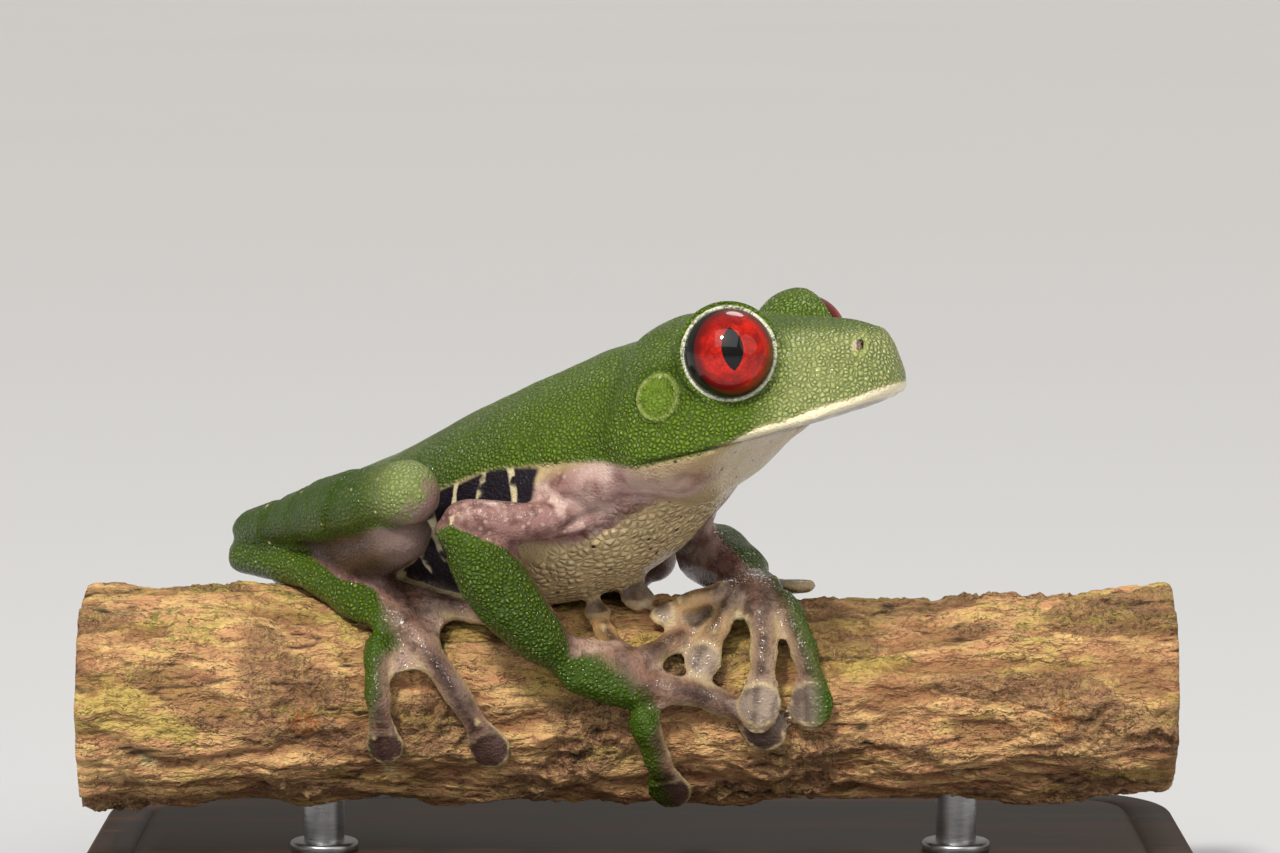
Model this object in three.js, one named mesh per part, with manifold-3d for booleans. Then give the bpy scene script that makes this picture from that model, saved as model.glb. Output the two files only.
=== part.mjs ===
// A red-eyed tree frog crouching on a cut length of branch, held by a plain display stand.
// Millimetres, +Z up. The branch runs along X; the frog looks towards +X and a little towards -Y.
// The origin is the middle of the stand's underside. The frog and the branch are laid out about the
// branch's own axis, and the groups that hold them lift them to their height over the stand.
import * as THREE from "three";
import { mergeVertices } from "three/addons/utils/BufferGeometryUtils.js";
import Module from "manifold-3d";

const wasm = await Module();
wasm.setup();

// ---------------------------------------------------------------- driving dimensions
const gap = 0.3; // the thin cut between neighbouring pieces
const eyeRadius = 3.45;
const lidRadius = 3.95; // the bulge of skin round each eyeball
const eyeSpread = 7.3; // from the middle of the head to each eye's centre
const headYaw = -24; // degrees from +X, turned a little back from the trunk
const trunkYaw = -38;
const fingerDiscs = [1.2, 1.6, 1.85, 1.9]; // radius of the pad at each finger's tip, from the inner one out
const toeDiscs = [1.2, 1.35, 1.55, 1.75, 1.6];
const shaftRadius = 1.0; // of a long digit between its joints
const webThickness = 0.7;
const perch = { height: 17, left: -44, right: 42 };
const base = { length: 88, width: 54, thickness: 5, corner: 9, bevel: 0.8 };
const rod = { radius: 1.6, sink: 3, spread: 25 };

const degrees = THREE.MathUtils.degToRad;
const up = new THREE.Vector3(0, 0, 1);
const vec = (x, y, z) => new THREE.Vector3(x, y, z);

// ---------------------------------------------------------------- small tools

// A smooth value read from a table of [place, value, value, ...] rows: column is the value wanted.
function smooth(table, place, column = 1) {
  const last = table.length - 1;
  if (place <= table[0][0]) return table[0][column];
  if (place >= table[last][0]) return table[last][column];
  const i = table.findIndex((row) => row[0] > place) - 1;
  const slope = (k) => {
    const a = table[Math.max(k - 1, 0)];
    const b = table[Math.min(k + 1, last)];
    return (b[column] - a[column]) / (b[0] - a[0]);
  };
  const span = table[i + 1][0] - table[i][0];
  const t = (place - table[i][0]) / span;
  const rise = t * t * (3 - 2 * t);
  return (
    table[i][column] * (1 - rise) +
    table[i + 1][column] * rise +
    slope(i) * span * t * (1 - t) ** 2 -
    slope(i + 1) * span * t * t * (1 - t)
  );
}

// A frame with a forward, a right and an upward direction, turned by yaw degrees from +X.
function frameAt(origin, yaw) {
  const ahead = vec(Math.cos(degrees(yaw)), Math.sin(degrees(yaw)), 0);
  const right = ahead.clone().cross(up);
  return {
    ahead,
    right,
    point: (forward, side, rise) =>
      origin.clone().addScaledVector(ahead, forward).addScaledVector(right, side).addScaledVector(up, rise),
  };
}

// A closed geometry as a solid that can be joined and cut.
function toSolid(geometry) {
  const bare = geometry.clone();
  bare.deleteAttribute("normal");
  bare.deleteAttribute("uv");
  const merged = mergeVertices(bare, 1e-4);
  return new wasm.Manifold(
    new wasm.Mesh({
      numProp: 3,
      vertProperties: merged.attributes.position.array,
      triVerts: new Uint32Array(merged.index.array),
    }),
  );
}

function toGeometry(solid) {
  const mesh = solid.getMesh();
  const geometry = new THREE.BufferGeometry();
  geometry.setAttribute("position", new THREE.BufferAttribute(mesh.vertProperties, mesh.numProp));
  geometry.setIndex(new THREE.BufferAttribute(mesh.triVerts, 1));
  geometry.computeVertexNormals();
  return geometry;
}

// A sphere whose rings are laid out anew: place(row, angle) gives the point for each of its vertices.
// Row 0 and the last row are the two poles.
function ringed(rows, around, place) {
  const geometry = new THREE.SphereGeometry(1, around, rows);
  const position = geometry.attributes.position;
  for (let row = 0; row <= rows; row++)
    for (let column = 0; column <= around; column++) {
      const angle = ((column % around) / around) * 2 * Math.PI;
      const p = place(row, angle);
      position.setXYZ(row * (around + 1) + column, p.x, p.y, p.z);
    }
  return toSolid(geometry);
}

// Part of a body whose upright sections lie along a frame's forward line.
// The table's rows are [forward, half width, top, widest height, bottom].
function bodyLoft(frame, table, places, around, grow = 0) {
  const rows = places.length - 1;
  return ringed(rows, around, (row, angle) => {
    const forward = places[row];
    const pole = row === 0 || row === rows;
    const middle = smooth(table, forward, 3);
    const edge = smooth(table, forward, Math.sin(angle) > 0 ? 2 : 4);
    const out = pole ? Math.sign(places[row] - places[rows - row]) * grow : 0;
    const wide = pole ? 0 : smooth(table, forward, 1) + grow;
    const lift = pole ? 0 : (Math.abs(edge - middle) + grow) * Math.sin(angle);
    return frame.point(forward + out, wide * Math.cos(angle), middle + lift);
  });
}

// A limb: rings along a smooth path, with round ends. radii lists the radius at even steps of the path.
// A flat below 1 thins it along the direction that it faces.
function limb(points, radii, { around = 10, along = 6, grow = 0, flat = 1, facing = up } = {}) {
  const path = new THREE.CatmullRomCurve3(points);
  const length = path.getLength();
  const table = radii.map((radius, i) => [(i / (radii.length - 1)) * length, radius]);
  const steps = [0, ...roundEnd(radii[0], 0, 1), ...evenSteps(radii[0], length - radii.at(-1), along)];
  steps.push(...roundEnd(radii.at(-1), length, -1), length);
  return ringed(steps.length - 1, around, (row, angle) => {
    const at = steps[row];
    const centre = path.getPointAt(Math.min(Math.max(at / length, 0), 1));
    const ahead = path.getTangentAt(Math.min(Math.max(at / length, 0), 1));
    const side = ahead.clone().cross(facing).normalize();
    const top = side.clone().cross(ahead);
    const end = Math.min(1, at / radii[0], (length - at) / radii.at(-1));
    const radius = (smooth(table, at) + grow) * Math.sqrt(Math.max(0, 1 - (1 - end) ** 2));
    const beyond = row === 0 ? -grow : row === steps.length - 1 ? grow : 0;
    return centre
      .addScaledVector(ahead, beyond)
      .addScaledVector(side, radius * Math.cos(angle))
      .addScaledVector(top, (radius * flat + grow * (1 - flat)) * Math.sin(angle));
  });
}

// Places for the rings of a round end: 18% and 55% of the way up to the full radius.
const roundEnd = (radius, from, way) => {
  const shares = way > 0 ? [0.18, 0.55] : [0.55, 0.18];
  return shares.map((share) => from + way * share * radius);
};

const evenSteps = (from, to, count) =>
  Array.from({ length: count }, (_, i) => from + ((to - from) * i) / (count - 1));

// ---------------------------------------------------------------- the perch

// The branch's middle line rises a little at its right end, and it is thickest at its left end.
const perchTable = [
  // along X, radius, height of the middle line over the branch's axis
  [-44, 8.9, 0.1],
  [-34, 8.5, 0.4],
  [-20, 8.15, 0.3],
  [0, 8.0, 0],
  [20, 7.9, 0],
  [34, 7.9, 0.4],
  [42, 8.1, 1.2],
];

// A gentle unevenness in the branch's girth, as a share of its radius.
const knobbly = (x, turn) => {
  const broad = 0.012 * Math.sin(3 * turn + 0.16 * x);
  const narrow = 0.01 * Math.sin(5 * turn - 0.23 * x + 1);
  return 1 + broad + narrow + 0.008 * Math.sin(0.55 * x + turn);
};

// A point over the bark: x along the branch, degrees round it from its top (towards -Y is positive),
// and the height over the bark.
function onPerch(x, round, lift) {
  const turn = degrees(round);
  const radius = smooth(perchTable, x, 1) * knobbly(x, turn) + lift;
  return vec(x, -radius * Math.sin(turn), smooth(perchTable, x, 2) + radius * Math.cos(turn));
}

function perchSolid(grow = 0) {
  const rows = 14;
  const around = 17;
  const trim = 0.6; // the cut ends are slightly bevelled
  const places = [perch.left, ...evenSteps(perch.left, perch.right, rows - 1), perch.right];
  return ringed(rows, around, (row, angle) => {
    const x = places[row];
    const pole = row === 0 || row === rows;
    const edge = row === 1 || row === rows - 1;
    const outX = x + (pole || edge ? Math.sign(x) * grow : 0);
    if (pole) return vec(outX, 0, smooth(perchTable, x, 2));
    return onPerch(x, 90 - THREE.MathUtils.radToDeg(angle), edge ? grow - trim : grow).setX(outX);
  });
}

// ---------------------------------------------------------------- the head

const headFrame = frameAt(vec(9.42, -12, 29.12), headYaw); // midway between the eyes
const trunkFrame = frameAt(vec(0.7, -6.7, 21.7), trunkYaw); // between the shoulders

const headTable = [
  // forward, half width at the lip, top, lip, chin and throat
  [-10.6, 4.5, -1.5, -5, -8],
  [-9.2, 8.2, 1.0, -6.8, -10.5],
  [-6.5, 9.9, 2.3, -8.1, -12.1],
  [-3.5, 10.0, 2.6, -7.7, -11.8],
  [-1.6, 9.8, 2.6, -7.3, -9.7],
  [0.1, 9.5, 2.6, -6.9, -7.3],
  [2.3, 9.0, 2.5, -6.3, -6.6],
  [5.5, 7.7, 2.45, -5.4, -5.7],
  [8, 5.9, 2.25, -4.5, -4.8],
  [9.7, 4.1, 1.6, -3.6, -3.95],
  [10.8, 2.5, 0.4, -2.7, -3.05],
  [11.3, 1.2, -0.8, -2.3, -2.65],
];
const headPlaces = [-10.8, -10.4, -9, -6.8, -4.4, -2.4, -0.6, 1, 2.8, 5, 7.2, 9, 10.2, 10.9, 11.25, 11.4];

const eyeAxis = { ahead: 0.5, side: 0.85, rise: 0.14 }; // where each eye looks, in the head's frame
const lidOpening = 0.6; // how far out along that line the lids' rim lies

// side is 1 for the frog's right and -1 for its left.
const eyeCentre = (side) => headFrame.point(0.15, side * eyeSpread, 0);
const eyeLook = (side) =>
  vec(0, 0, 0)
    .addScaledVector(headFrame.ahead, eyeAxis.ahead)
    .addScaledVector(headFrame.right, side * eyeAxis.side)
    .addScaledVector(up, eyeAxis.rise)
    .normalize();

function ball(centre, radius, around = 14, rows = 9) {
  const geometry = new THREE.SphereGeometry(radius, around, rows);
  geometry.translate(centre.x, centre.y, centre.z);
  return toSolid(geometry);
}

// The bulge of skin over an eyeball, open where the eye looks out.
function eyeDome(side, grow = 0) {
  const look = eyeLook(side);
  const bulge = ball(eyeCentre(side), lidRadius + grow, 13, 8);
  const rim = -eyeCentre(side).dot(look) - lidOpening - grow;
  return bulge.trimByPlane(look.clone().negate().toArray(), rim);
}

function headWhole(grow = 0) {
  const loft = bodyLoft(headFrame, headTable, headPlaces, 16, grow);
  return loft.add(eyeDome(1, grow)).add(eyeDome(-1, grow));
}

// The lip line seen from the side, as [forward, height]. It climbs more steeply at the snout.
const mouthLine = [
  [-14, -10.2],
  [-6.4, -8.5],
  [-4.1, -7.95],
  [1.3, -6.55],
  [5.7, -5.35],
  [9, -4.0],
  [11.3, -2.4],
  [14, -0.4],
];

// Everything under the lip line, which parts the lower jaw from the rest of the head.
function underLip(offset) {
  const across = 30;
  const depth = 14;
  const shape = new THREE.Shape();
  shape.moveTo(mouthLine.at(-1)[0], -depth);
  mouthLine.toReversed().forEach(([forward, height]) => shape.lineTo(forward, height + offset));
  shape.lineTo(mouthLine[0][0], -depth);
  const geometry = new THREE.ExtrudeGeometry(shape, { depth: across, bevelEnabled: false });
  const layout = new THREE.Matrix4().makeBasis(headFrame.ahead, up, headFrame.right);
  geometry.applyMatrix4(layout.setPosition(headFrame.point(0, -across / 2, 0)));
  return toSolid(geometry);
}

// The eardrum is a flat round disc behind and below the eye.
const eardrum = { radius: 1.65, thickness: 1.4, ahead: -4.85, rise: -3.3, proud: 0.15 };
function eardrumSolid(side, grow = 0) {
  const forward = eardrum.ahead;
  const wide = smooth(headTable, forward, 1);
  const middle = smooth(headTable, forward, 3);
  const high = (eardrum.rise - middle) / (smooth(headTable, forward, 2) - middle);
  const out = wide * Math.sqrt(1 - high * high);
  const slope = (high * wide) / (smooth(headTable, forward, 2) - middle) / Math.sqrt(1 - high * high);
  const facing = headFrame.right.clone().multiplyScalar(side).addScaledVector(up, slope).normalize();
  const geometry = new THREE.CylinderGeometry(
    eardrum.radius + grow,
    eardrum.radius + grow,
    eardrum.thickness + 2 * grow,
    12,
  );
  geometry.applyQuaternion(new THREE.Quaternion().setFromUnitVectors(vec(0, 1, 0), facing));
  const centre = headFrame
    .point(forward, side * out, eardrum.rise)
    .addScaledVector(facing, eardrum.proud - eardrum.thickness / 2);
  geometry.translate(centre.x, centre.y, centre.z);
  return toSolid(geometry);
}

// ---------------------------------------------------------------- the trunk

const trunkTable = [
  // forward of the shoulders, half width, top, widest height, bottom
  [-38.6, 2.6, -10.5, -12.5, -14],
  [-37, 4.0, -9.2, -12, -14.8],
  [-33, 6.2, -6.6, -11, -15.8],
  [-28, 7.8, -4.2, -9.8, -15.8],
  [-22, 9.4, -1.8, -8.8, -15.6],
  [-16, 10.6, 1.0, -7.6, -15.0],
  [-10, 10.8, 3.8, -6.4, -14.6],
  [-5, 10.2, 5.9, -5.0, -12.8],
  [0, 9.2, 7.6, -3.2, -9.9],
  [4, 8.2, 8.4, -0.5, -6.2],
  [7, 5.5, 7.2, 1.6, -3],
];
const trunkPlaces = [-39, -38.2, -36, -32, -27, -22, -17, -12, -7.5, -3.5, 0, 3.4, 6, 7.1, 7.5];

const trunkWhole = (grow = 0) => bodyLoft(trunkFrame, trunkTable, trunkPlaces, 16, grow);

// ---------------------------------------------------------------- arms and legs

// Joint centres, about the branch's axis.
const joints = {
  right: {
    shoulder: vec(-1.2, -11.4, 17.2),
    armMiddle: vec(-7.6, -12.9, 15.6),
    elbow: vec(-13.4, -13.2, 15.5),
    foreMiddle: vec(-10.7, -12.7, 10.4),
    wrist: vec(-6.0, -10.7, 4.8),
    hip: vec(-26.4, 9.6, 9.2),
    knee: vec(-17.4, -12.4, 15.3),
    shankTop: vec(-16.2, -14.2, 18.4),
    heel: vec(-32.0, 6.6, 12.6),
    tarsusTop: vec(-32.6, 6.9, 10.6),
    tarsusMiddle: vec(-26.6, 0.6, 10.3),
    ankle: onPerch(-20.4, 41, 1.8),
  },
  left: {
    shoulder: vec(4.4, -1.6, 16.2),
    armMiddle: vec(4.2, 6, 13.2),
    elbow: vec(4.4, 10.6, 11.0),
    foreMiddle: vec(6.2, 4.6, 10.7),
    wrist: vec(8.9, -3.2, 10.1),
    hip: vec(-20.4, 17.2, 9.0),
    knee: vec(1.6, 13.0, 8.6),
    shankTop: vec(3.0, 13.2, 9.6),
    heel: vec(-23.6, 21.6, 10.8),
    tarsusTop: vec(-23.2, 22.0, 8.4),
    tarsusMiddle: vec(-14.0, 17.4, 7.4),
    ankle: onPerch(-6, -60, 1.8),
  },
};

const armParts = (side) => {
  const j = joints[side];
  return {
    upper: (grow = 0) =>
      limb([j.elbow, j.armMiddle, j.shoulder], [1.9, 1.6, 1.75, 2.4], { grow, along: 4, around: 9 }),
    fore: (grow = 0) =>
      limb([j.elbow, j.foreMiddle, j.wrist], [2.2, 2.7, 2.7, 2.2, 2.1], { grow, along: 5, around: 9 }),
  };
};

const legParts = (side) => {
  const j = joints[side];
  return {
    thigh: (grow = 0) => limb([j.hip, j.knee], [3.9, 3.9, 3.4, 2.9, 2.3], { grow, along: 4, around: 8 }),
    shank: (grow = 0) => limb([j.shankTop, j.heel], [2.5, 2.85, 2.6, 1.8, 1.35], { grow, along: 5 }),
    tarsus: (grow = 0) =>
      limb([j.tarsusTop, j.tarsusMiddle, j.ankle], [1.3, 1.5, 1.6, 1.7, 1.8], { grow, along: 5, around: 8 }),
  };
};

// ---------------------------------------------------------------- hands and feet

// Each digit runs over the bark through points of [along X, degrees round, height over the bark],
// the last of them the middle of its pad.
const handDigits = {
  right: [
    [[-1.2, 63, 1.6], [-2.7, 49, 1.4], [-3.3, 33, 1.1]],
    [[-0.6, 66, 1.5], [1.2, 57, 1.2], [3.0, 49, 1.0], [4.6, 38, 0.9]],
    [[0.2, 75, 1.7], [3.9, 77, 1.2], [7.2, 84, 0.9], [9.6, 96, 0.7]],
    [[-0.1, 86, 1.8], [0.9, 101, 1.6], [1.6, 115, 1.4], [2.3, 131, 1.1]],
  ],
  left: [
    [[7.6, 28, 3.0], [5.8, 34, 3.2], [4.0, 33, 2.9], [1.9, 36, 1.2]],
    [[8.0, 29, 2.9], [6.8, 38, 2.7], [5.8, 49, 2.2], [4.9, 61, 1.1]],
    [[9.0, 33, 2.8], [9.6, 54, 2.6], [9.4, 71, 2.4], [9.2, 83, 2.15]],
    [[10.8, 30, 2.5], [12.5, 54, 1.9], [13.1, 68, 1.5], [13.2, 83, 1.1]],
  ],
};
const footDigits = {
  right: [
    [[-18.8, 28, 1.6], [-17.4, 18, 1.3], [-15.6, 9, 1.05]],
    [[-18.2, 31, 1.6], [-15.2, 23, 1.3], [-12.2, 21, 1.05]],
    [[-17.8, 35, 1.6], [-15.2, 33, 1.4], [-12.4, 37, 1.2], [-9.8, 44, 1.0]],
    [[-18.2, 46, 1.6], [-15.4, 68, 1.5], [-13.0, 90, 1.3], [-11.6, 106, 1.05]],
    [[-20.2, 52, 1.6], [-20.3, 74, 1.5], [-20.0, 92, 1.3], [-19.7, 105, 1.05]],
  ],
  left: [
    [[-5.0, -54, 1.6], [-5.6, -42, 1.3], [-6.2, -31, 1.05]],
    [[-4.4, -53, 1.6], [-3.6, -36, 1.3], [-3.4, -22, 1.05]],
    [[-4.0, -54, 1.6], [-1.8, -28, 1.4], [-0.8, -4, 1.2], [-0.2, 20, 1.0]],
    [[-3.8, -58, 1.6], [1.6, -51, 1.2], [7.0, -43, 1.1], [12.2, -9, 1.0]],
    [[-4.4, -66, 1.6], [-0.2, -70, 1.4], [4.4, -68, 1.3], [7.8, -64, 1.05]],
  ],
};

// A digit's centre line, read in the bark's own measures so that it hugs the branch.
// It is carried on past the middle of the pad to the digit's tip.
function digitLine(marks, disc = 0) {
  const roundScale = 7; // about one millimetre of bark for this many degrees
  const flat = marks.map(([x, round, lift]) => vec(x, round / roundScale, lift));
  const beyond = flat.at(-1).clone().sub(flat.at(-2)).setZ(0).setLength(disc);
  const line = new THREE.CatmullRomCurve3([...flat, ...(disc ? [flat.at(-1).clone().add(beyond)] : [])]);
  const bark = (t) => {
    const p = line.getPointAt(THREE.MathUtils.clamp(t, 0, 1));
    return [p.x, p.y * roundScale, p.z];
  };
  return {
    bark,
    length: line.getLength(),
    point: (t) => onPerch(...bark(t)),
    outward: (t) => {
      const [x, round] = bark(t);
      return onPerch(x, round, 1).sub(onPerch(x, round, 0)).normalize();
    },
  };
}

// Half width and half thickness of a digit at each share of its length: slim, with a round flat pad.
function digitSection(t, length, disc) {
  const fromTip = (1 - t) * length;
  const shaft = shaftRadius * Math.min(1, 0.4 + disc / 3) * (1.2 - 0.35 * t);
  const pad = fromTip < 2 * disc ? Math.sqrt(Math.max(0, disc * disc - (fromTip - disc) ** 2)) : 0;
  const round = Math.min(1, fromTip / 0.9);
  const thick = shaft * (fromTip < 2 * disc ? 0.7 : 0.85);
  return [fromTip < disc ? pad : Math.max(shaft, pad), thick * Math.sqrt(1 - (1 - round) ** 2)];
}

function digit(marks, disc) {
  const line = digitLine(marks, disc);
  const tip = disc / line.length;
  const shaftSteps = evenSteps(0.14, 1 - 2.2 * tip, line.length > 9 ? 3 : 2);
  const padSteps = [1.6, 0.95, 0.4, 0.08, 0].map((part) => 1 - part * tip);
  const steps = [0, 0.04, ...shaftSteps, ...padSteps];
  return ringed(steps.length - 1, 6, (row, angle) => {
    const t = steps[row];
    const out = line.outward(t);
    const ahead = line.point(t + 0.02).sub(line.point(t - 0.02)).normalize();
    const side = ahead.clone().cross(out).normalize();
    const pole = row === 0 || row === steps.length - 1;
    const [wide, thick] = digitSection(t, line.length, disc);
    return line
      .point(t)
      .addScaledVector(side, pole ? 0 : wide * Math.cos(angle))
      .addScaledVector(out, pole ? 0 : thick * Math.sin(angle));
  });
}

// The thin web between two digits, hollowed at its free edge.
function web(marksA, marksB, reachA, reachB) {
  const a = digitLine(marksA);
  const b = digitLine(marksB);
  const geometry = new THREE.BoxGeometry(1, 1, 1, 3, 2, 1);
  const position = geometry.attributes.position;
  for (let i = 0; i < position.count; i++) {
    const across = position.getX(i) + 0.5;
    const along = position.getY(i) + 0.5;
    const hollow = 1 - 0.3 * Math.sin(across * Math.PI);
    const pa = a.bark(along * reachA * hollow);
    const pb = b.bark(along * reachB * hollow);
    const mix = pa.map((value, k) => value * (1 - across) + pb[k] * across);
    const p = onPerch(mix[0], mix[1], mix[2] - 0.15 + position.getZ(i) * webThickness);
    position.setXYZ(i, p.x, p.y, p.z);
  }
  const solid = toSolid(geometry);
  return solid.volume() < 0 ? toSolid(flipped(geometry)) : solid;
}

// The same geometry with its faces turned the other way.
function flipped(geometry) {
  const turned = geometry.clone();
  turned.index.array.reverse();
  return turned;
}

// The palm or sole: a flattened limb from the wrist or ankle to where the digits part.
function palm(from, digits, size) {
  const spread = digits.map((marks) => digitLine(marks).point(0.12));
  const middle = spread.reduce((sum, p) => sum.add(p), vec(0, 0, 0)).divideScalar(spread.length);
  const ahead = middle.clone().sub(from).setLength(1);
  const start = from.clone().addScaledVector(ahead, -1);
  const end = middle.clone().addScaledVector(ahead, 1.2);
  const facing = middle.clone().setX(0);
  return limb([start, end], [size * 0.85, size, size], { around: 8, along: 3, flat: 0.62, facing });
}

// ---------------------------------------------------------------- the stand

function standBase() {
  const { length, width, thickness, corner, bevel } = base;
  const shape = new THREE.Shape();
  const x = length / 2 - bevel;
  const y = width / 2 - bevel;
  shape.absarc(x - corner, y - corner, corner, 0, Math.PI / 2);
  shape.absarc(-x + corner, y - corner, corner, Math.PI / 2, Math.PI);
  shape.absarc(-x + corner, -y + corner, corner, Math.PI, 1.5 * Math.PI);
  shape.absarc(x - corner, -y + corner, corner, 1.5 * Math.PI, 2 * Math.PI);
  const geometry = new THREE.ExtrudeGeometry(shape, {
    depth: thickness - 2 * bevel,
    bevelThickness: bevel,
    bevelSize: bevel,
    bevelSegments: 1,
    curveSegments: 3,
  });
  geometry.translate(0, 0, bevel);
  return toSolid(geometry);
}

// A rod from its seat in the base up into the underside of the branch.
function standRod(x, grow = 0) {
  const underside = perch.height + onPerch(x, 180, 0).z;
  const bottom = base.thickness - rod.sink - grow;
  const top = underside + rod.sink + grow;
  const geometry = new THREE.CylinderGeometry(rod.radius + grow, rod.radius + grow, top - bottom, 12);
  geometry.rotateX(Math.PI / 2);
  geometry.translate(x, 0, (top + bottom) / 2);
  return toSolid(geometry);
}

// ---------------------------------------------------------------- putting it together

const looks = {
  skinGreen: { color: 0x4f8a2a, roughness: 0.42 },
  skinPale: { color: 0xd9cfae, roughness: 0.5 },
  skinPurple: { color: 0x8c6a66, roughness: 0.42 },
  eye: { color: 0xb01616, roughness: 0.08 },
  bark: { color: 0xa9794c, roughness: 0.92 },
  baseWood: { color: 0x2b2622, roughness: 0.45 },
  steel: { color: 0xb9bcc0, roughness: 0.3, metalness: 1 },
};

const frog = new THREE.Group();
const branch = new THREE.Group();
const stand = new THREE.Group();
frog.position.z = perch.height;
branch.position.z = perch.height;

function place(group, name, solid, look) {
  const mesh = new THREE.Mesh(toGeometry(solid), new THREE.MeshStandardMaterial(looks[look]));
  mesh.name = name;
  group.add(mesh);
}

// The largest of a solid's bodies: a cut can leave a sliver loose on the far side of what cut it.
const mainBody = (solid) => solid.decompose().reduce((a, b) => (a.volume() > b.volume() ? a : b));
const cutBy = (solid, cutters) => mainBody(cutters.reduce((rest, cutter) => rest.subtract(cutter), solid));
const joined = (solids) => solids.reduce((sum, solid) => sum.add(solid));

const sides = { right: 1, left: -1 };
const bark = perchSolid(gap);
const grownHead = headWhole(gap);
const grownBody = trunkWhole(gap).add(grownHead);

const eyeSockets = [1, -1].map((side) => ball(eyeCentre(side), eyeRadius + gap));
const eardrumSeats = [1, -1].map((side) => eardrumSolid(side, 0.2));
const skull = cutBy(headWhole(), [...eyeSockets, ...eardrumSeats]);
place(frog, "head", cutBy(skull, [underLip(gap / 2)]), "skinGreen");
place(frog, "lower_jaw", mainBody(skull.intersect(underLip(-gap / 2))), "skinPale");
place(frog, "trunk", cutBy(trunkWhole(), [grownHead, bark]), "skinGreen");

// A hand or foot, with its digits and the webs between them.
function handOrFoot(from, marks, discs, size, webs) {
  const digits = marks.map((line, i) => digit(line, discs[i]));
  return joined([palm(from, marks, size), ...digits, ...webs]);
}

for (const [side, sign] of Object.entries(sides)) {
  place(frog, `eye_${side}`, ball(eyeCentre(sign), eyeRadius), "eye");
  place(frog, `eardrum_${side}`, eardrumSolid(sign), "skinGreen");

  const arm = armParts(side);
  const leg = legParts(side);
  place(frog, `upper_arm_${side}`, cutBy(arm.upper(), [grownBody]), "skinPurple");
  place(frog, `forearm_${side}`, cutBy(arm.fore(), [arm.upper(gap), grownBody, bark]), "skinGreen");
  place(frog, `shank_${side}`, cutBy(leg.shank(), [grownBody, bark]), "skinGreen");
  place(frog, `tarsus_${side}`, cutBy(leg.tarsus(), [leg.shank(gap), grownBody, bark]), "skinGreen");
  const thighCuts = [leg.shank(gap), leg.tarsus(gap), grownBody, bark];
  place(frog, `thigh_${side}`, cutBy(leg.thigh(), thighCuts), "skinPurple");

  const fingers = handDigits[side];
  const handWebs = [web(fingers[1], fingers[2], 0.4, 0.34), web(fingers[2], fingers[3], 0.34, 0.34)];
  const hand = handOrFoot(joints[side].wrist, fingers, fingerDiscs, 2.45, handWebs);
  place(frog, `hand_${side}`, cutBy(hand, [arm.fore(gap), grownBody, bark]), "skinPurple");

  const toes = footDigits[side];
  const footWebs = [
    web(toes[1], toes[2], 0.55, 0.42),
    web(toes[2], toes[3], 0.5, 0.42),
    web(toes[3], toes[4], 0.48, 0.52),
  ];
  const foot = handOrFoot(joints[side].ankle, toes, toeDiscs, 2.0, footWebs);
  place(frog, `foot_${side}`, cutBy(foot, [leg.tarsus(gap), grownBody, bark]), "skinPurple");
}

const rodPlaces = [-rod.spread, rod.spread];
const seats = rodPlaces.map((x) => standRod(x, gap));
const perchSeats = seats.map((seat) => seat.translate(0, 0, -perch.height));
place(branch, "perch", cutBy(perchSolid(), perchSeats), "bark");
place(stand, "stand_base", cutBy(standBase(), seats), "baseWood");
rodPlaces.forEach((x, i) => place(stand, `stand_rod_${i + 1}`, standRod(x), "steel"));

const model = new THREE.Group();
model.add(frog, branch, stand);

export default model;
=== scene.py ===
# The looks of a life-size red-eyed tree frog that grips a cut length of branch on a display stand.
import math
from functools import partial

import bpy
import numpy as np
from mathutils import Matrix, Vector, noise
from mathutils.bvhtree import BVHTree


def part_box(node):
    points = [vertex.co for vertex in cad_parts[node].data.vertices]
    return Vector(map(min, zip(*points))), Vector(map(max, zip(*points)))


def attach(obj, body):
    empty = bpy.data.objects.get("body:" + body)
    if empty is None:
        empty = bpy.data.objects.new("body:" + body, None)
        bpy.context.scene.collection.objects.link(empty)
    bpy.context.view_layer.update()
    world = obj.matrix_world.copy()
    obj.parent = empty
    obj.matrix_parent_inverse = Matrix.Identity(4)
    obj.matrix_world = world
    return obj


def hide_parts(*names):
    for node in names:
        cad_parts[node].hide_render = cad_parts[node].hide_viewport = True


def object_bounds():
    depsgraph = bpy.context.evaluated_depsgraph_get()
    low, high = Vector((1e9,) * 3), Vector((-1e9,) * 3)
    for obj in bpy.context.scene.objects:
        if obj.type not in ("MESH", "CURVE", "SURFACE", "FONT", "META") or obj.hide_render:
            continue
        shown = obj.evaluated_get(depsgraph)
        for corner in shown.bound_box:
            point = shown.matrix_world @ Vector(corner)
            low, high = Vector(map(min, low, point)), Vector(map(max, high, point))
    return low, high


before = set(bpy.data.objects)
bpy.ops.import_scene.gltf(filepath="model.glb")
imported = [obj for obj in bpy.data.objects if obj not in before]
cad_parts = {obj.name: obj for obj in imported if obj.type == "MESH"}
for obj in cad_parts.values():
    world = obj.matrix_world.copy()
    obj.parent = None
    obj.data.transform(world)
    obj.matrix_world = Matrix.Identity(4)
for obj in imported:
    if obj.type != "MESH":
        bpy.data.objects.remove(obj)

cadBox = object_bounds()
mm = 0.001
print("frame loaded:", len(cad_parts), "nodes")


def alone(*things):
    # selects only these, with the first of them active
    bpy.ops.object.select_all(action="DESELECT")
    for thing in things:
        thing.select_set(True)
    bpy.context.view_layer.objects.active = things[0]


def applyAll(thing):
    alone(thing)
    for modifier in list(thing.modifiers):
        bpy.ops.object.modifier_apply(modifier=modifier.name)


def settle(thing):
    # puts the object's place, turn and size into its mesh
    alone(thing)
    bpy.ops.object.transform_apply(location=True, rotation=True, scale=True)


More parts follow.
